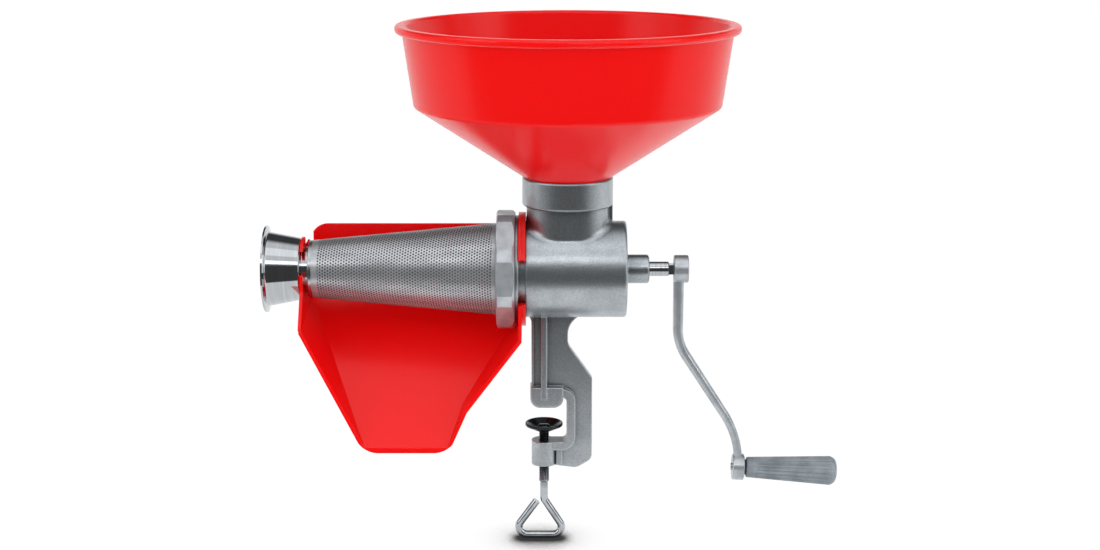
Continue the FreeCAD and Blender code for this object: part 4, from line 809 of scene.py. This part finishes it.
class MILL_OT_clamp(bpy.types.Operator):
    """Roll the clamp screw's thread, bend its loop and finish the pad"""
    bl_idname = "mill.clamp"
    bl_label = "Clamp screw"

    def execute(self, context):
        sizes = context.scene.mill.thread
        colours = context.scene.mill.colours
        finish = chromed_rod(colours)
        paint(turned_along_x("burnished_steel", colours.burnished, hex_colour("3A3E41"), 0.24, 2.0, 0.03),
              "clamp_pad")
        # Heights in metres and radii in millimetres: a riveted head, the neck that the pad turns
        # on, the thread and the plain rod below it.
        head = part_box("clamp_screw")[1].z
        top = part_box("clamp_pad")[0].z - 0.35 * MM
        bottom, rod_end = -69.5 * MM, -81.0 * MM
        head_radius, neck_radius, thread_radius, rod_radius = 5.6, 3.2, 4.5, 3.45
        shoulder = top - 0.5 * MM
        tip = [(head, 0.0), (head - 0.1 * MM, 3.8), (head - 0.7 * MM, 5.1),
               (head - 1.6 * MM, head_radius), (head - 2.2 * MM, head_radius),
               (head - 2.2 * MM, neck_radius), (top, neck_radius), (top, 3.9), (shoulder, thread_radius)]
        rows_per_turn, round_steps = 8, 32
        rows = int((top - bottom) / (sizes.pitch / rows_per_turn))
        tip += [(shoulder - (shoulder - bottom) * k / rows, thread_radius) for k in range(1, rows + 1)]
        tip += [(bottom - 1.05 * MM, rod_radius), (rod_end, rod_radius), (rod_end, 0.0)]
        rod = lathe([(a, r * MM) for a, r in tip], round_steps, Vector((0, 0, 1)), Vector((1, 0, 0)))
        screw = grow("clamp_screw_bent", thread_tree(), {
            "Pitch": sizes.pitch, "Depth": sizes.depth, "Top": shoulder, "Bottom": bottom,
            "Core": 4.2 * MM, "Material": finish}, rod)

        # The loop's corners in millimetres, and the inner bends between its straight runs.
        corners = [(0.0, -80.0), (0.0, -87.0), (21.6, -120.5), (-29.6, -120.5), (-6.6, -88.725)]
        line = [point * MM for point in bent_line(corners, bend=7.5, steps=12)]
        join(screw, (rod_along(line, rod_radius * MM, context),), sharp=40)
        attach(screw, "clamp_screw")
        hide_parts("clamp_screw")
        return {"FINISHED"}


def lay_floor(scene):
    """A white paper floor. To the eye and in mirrors it glows evenly, with a painted shadow close to
    what stands on it."""
    floor_z = cad_box[0][2] - 0.2 * MM
    left, right, front, rear = -9, 9, -0.41, 12
    mesh = bpy.data.meshes.new("floor")
    mesh.from_pydata([(left, front, floor_z), (right, front, floor_z), (right, rear, floor_z),
                      (left, rear, floor_z)], [], [(0, 1, 2, 3)])
    floor = bpy.data.objects.new("floor", mesh)
    scene.collection.objects.link(floor)
    paper = bpy.data.materials.new("white_paper")
    paper.use_nodes = True
    tree = paper.node_tree
    shader = tree.nodes["Principled BSDF"]
    shader.inputs["Base Color"].default_value = hex_colour("F2F2F0")
    shader.inputs["Roughness"].default_value = 0.9
    rays = node(tree, "ShaderNodeLightPath").outputs
    seen = rays["Is Camera Ray"]
    for kind in ("Is Glossy Ray", "Is Transmission Ray"):
        seen = node(tree, "ShaderNodeMath", {0: seen, 1: rays[kind]}, operation="MAXIMUM").outputs[0]
    share = node(tree, "ShaderNodeMath", {0: seen, 1: 0.97}, operation="MULTIPLY")
    # Painted shadow: the glow dims where things stand close over the floor.
    open_sky = node(tree, "ShaderNodeAmbientOcclusion", {"Distance": 45 * MM}, samples=16).outputs["AO"]
    glow_with_painted_shadow = node(tree, "ShaderNodeMapRange", {0: open_sky, 1: 0.80, 2: 0.975, 3: 0.03, 4: 1.02}).outputs[0]
    white = node(tree, "ShaderNodeEmission", {"Color": (1, 1, 1, 1), "Strength": glow_with_painted_shadow})
    mixed = node(tree, "ShaderNodeMixShader", {
        0: share.outputs[0], 1: shader.outputs[0], 2: white.outputs[0]})
    tree.links.new(mixed.outputs[0], tree.nodes["Material Output"].inputs["Surface"])
    mesh.materials.append(paper)


def light_room(scene):
    """A long soft box overhead in a dim room, and the white backdrop low behind the mill.

    Metal shows the box as one broad light band. Mirror rays meet a bright box in a dark room, and
    diffuse rays a dimmer box in a brighter room, so that plastic is lit more evenly than metal.
    """
    world = bpy.data.worlds.new("studio")
    scene.world = world
    world.use_nodes = True
    tree = world.node_tree
    tree.nodes.clear()
    rays = node(tree, "ShaderNodeLightPath").outputs
    aim = node(tree, "ShaderNodeTexCoord").outputs["Generated"]
    way = node(tree, "ShaderNodeSeparateXYZ", {0: aim}).outputs
    ahead = node(tree, "ShaderNodeMath", {0: way[1], 1: -1.0}, operation="MULTIPLY").outputs[0]
    # The angle runs from the front over the top. The box begins and ends, and the backdrop begins,
    # over these degrees.
    rise = node(tree, "ShaderNodeMath", {0: way[2], 1: ahead}, operation="ARCTAN2").outputs[0]
    box_start, box_end, backdrop = [
        node(tree, "ShaderNodeMapRange", {0: rise, 1: math.radians(a), 2: math.radians(b)},
             interpolation_type="SMOOTHSTEP").outputs[0]
        for a, b in ((20, 36), (118, 98), (150, 170))]
    box = node(tree, "ShaderNodeMath", {0: box_start, 1: box_end}, operation="MULTIPLY").outputs[0]
    mirrored = node(tree, "ShaderNodeMath", {
        0: rays["Is Glossy Ray"], 1: rays["Is Transmission Ray"]}, operation="MAXIMUM").outputs[0]
    gain = node(tree, "ShaderNodeMapRange", {0: mirrored, 3: 0.42, 4: 0.93}).outputs[0]
    room = node(tree, "ShaderNodeMapRange", {0: mirrored, 3: 0.52, 4: 0.07}).outputs[0]
    level = node(tree, "ShaderNodeMath", {0: box, 1: gain, 2: room}, operation="MULTIPLY_ADD").outputs[0]
    soft = node(tree, "ShaderNodeBackground", {"Color": hex_colour("F8F9FA"), "Strength": level})
    back = node(tree, "ShaderNodeBackground", {"Color": (1, 1, 1, 1), "Strength": 1.0})
    behind = node(tree, "ShaderNodeMath", {0: mirrored, 1: backdrop}, operation="MULTIPLY").outputs[0]
    seen = node(tree, "ShaderNodeMath", {
        0: rays["Is Camera Ray"], 1: behind}, operation="MAXIMUM").outputs[0]
    both = node(tree, "ShaderNodeMixShader", {0: seen, 1: soft.outputs[0], 2: back.outputs[0]})
    node(tree, "ShaderNodeOutputWorld", {0: both.outputs[0]})


def hang_lamps(scene):
    """Soft boxes round the mill. The two fills light it without showing in its metal."""
    for name, place, aim, size, watts, in_mirrors in (
            ("top_box", (0.05, -0.55, 1.5), (0.0, 0.0, 0.15), (1.5, 0.7), 1.5, True),
            ("front_box", (0.0, -1.75, 1.25), (0.0, 0.0, 0.12), (1.8, 0.4), 4.2, True),
            ("low_fill", (0.0, -1.3, -0.3), (0.0, 0.0, 0.2), (3.0, 0.5), 9.0, False),
            ("left_box", (-1.5, -0.9, 0.8), (0.0, 0.0, 0.12), (0.9, 1.5), 5.2, True),
            ("right_box", (1.6, -0.8, 0.7), (0.05, 0.0, 0.12), (0.8, 1.5), 5.6, True),
            ("back_fill", (0.0, 1.7, 0.9), (0.0, 0.0, 0.15), (1.8, 1.0), 6.0, False)):
        lamp = bpy.data.lights.new(name, "AREA")
        lamp.shape = "RECTANGLE"
        lamp.size, lamp.size_y = size
        lamp.energy = watts
        holder = bpy.data.objects.new(name, lamp)
        holder.location = place
        holder.visible_glossy = in_mirrors
        holder.rotation_euler = (Vector(aim) - Vector(place)).to_track_quat("-Z", "Y").to_euler()
        scene.collection.objects.link(holder)


def set_camera(scene):
    """The camera, level from side to side and tilted down."""
    lens_mm, sensor_mm, tilt_degrees = 62.18, 36.0, 12.54
    lens = bpy.data.cameras.new("camera")
    lens.lens = lens_mm
    lens.sensor_width = sensor_mm
    lens.sensor_fit = "HORIZONTAL"
    lens.clip_start = 0.05
    lens.clip_end = 50.0
    camera = bpy.data.objects.new("camera", lens)
    camera.location = (5.30 * MM, -1613.6 * MM, 476.6 * MM)
    camera.rotation_euler = (math.radians(90 - tilt_degrees), 0.0, 0.0)
    scene.collection.objects.link(camera)
    scene.camera = camera


class MILL_OT_stage(bpy.types.Operator):
    """Set the floor, the soft studio light and the camera"""
    bl_idname = "mill.stage"
    bl_label = "Studio"

    def execute(self, context):
        scene = context.scene
        scene.view_settings.view_transform = "Standard"
        lay_floor(scene)
        light_room(scene)
        hang_lamps(scene)
        set_camera(scene)
        return {"FINISHED"}


class MILL_PT_panel(bpy.types.Panel):
    """Sizes, colours and pieces of the mill"""
    bl_label = "Tomato Mill"
    bl_idname = "MILL_PT_panel"
    bl_space_type = "VIEW_3D"
    bl_region_type = "UI"
    bl_category = "Mill"

    def draw(self, context):
        settings = context.scene.mill
        for group in (settings.filter, settings.grip, settings.thread, settings.colours):
            box = self.layout.box()
            for key in group.__annotations__:
                box.prop(group, key)
        for maker in OPERATORS:
            self.layout.operator(maker.bl_idname)


OPERATORS = (MILL_OT_stage, MILL_OT_castings, MILL_OT_plastics, MILL_OT_steel, MILL_OT_inside,
             MILL_OT_filter, MILL_OT_grip, MILL_OT_clamp)
CLASSES = (FilterSizes, GripSizes, ThreadSizes, FinishColours, MillSettings, *OPERATORS, MILL_PT_panel)


def register():
    for item in CLASSES:
        bpy.utils.register_class(item)
    bpy.types.Scene.mill = bpy.props.PointerProperty(type=MillSettings)


def unregister():
    del bpy.types.Scene.mill
    for item in reversed(CLASSES):
        bpy.utils.unregister_class(item)


def main():
    """Run every step in order."""
    register()
    bpy.ops.mill.stage()
    bpy.ops.mill.castings()
    bpy.ops.mill.plastics()
    bpy.ops.mill.steel()
    bpy.ops.mill.inside()
    bpy.ops.mill.filter()
    bpy.ops.mill.grip()
    bpy.ops.mill.clamp()


if __name__ == "__main__":
    main()
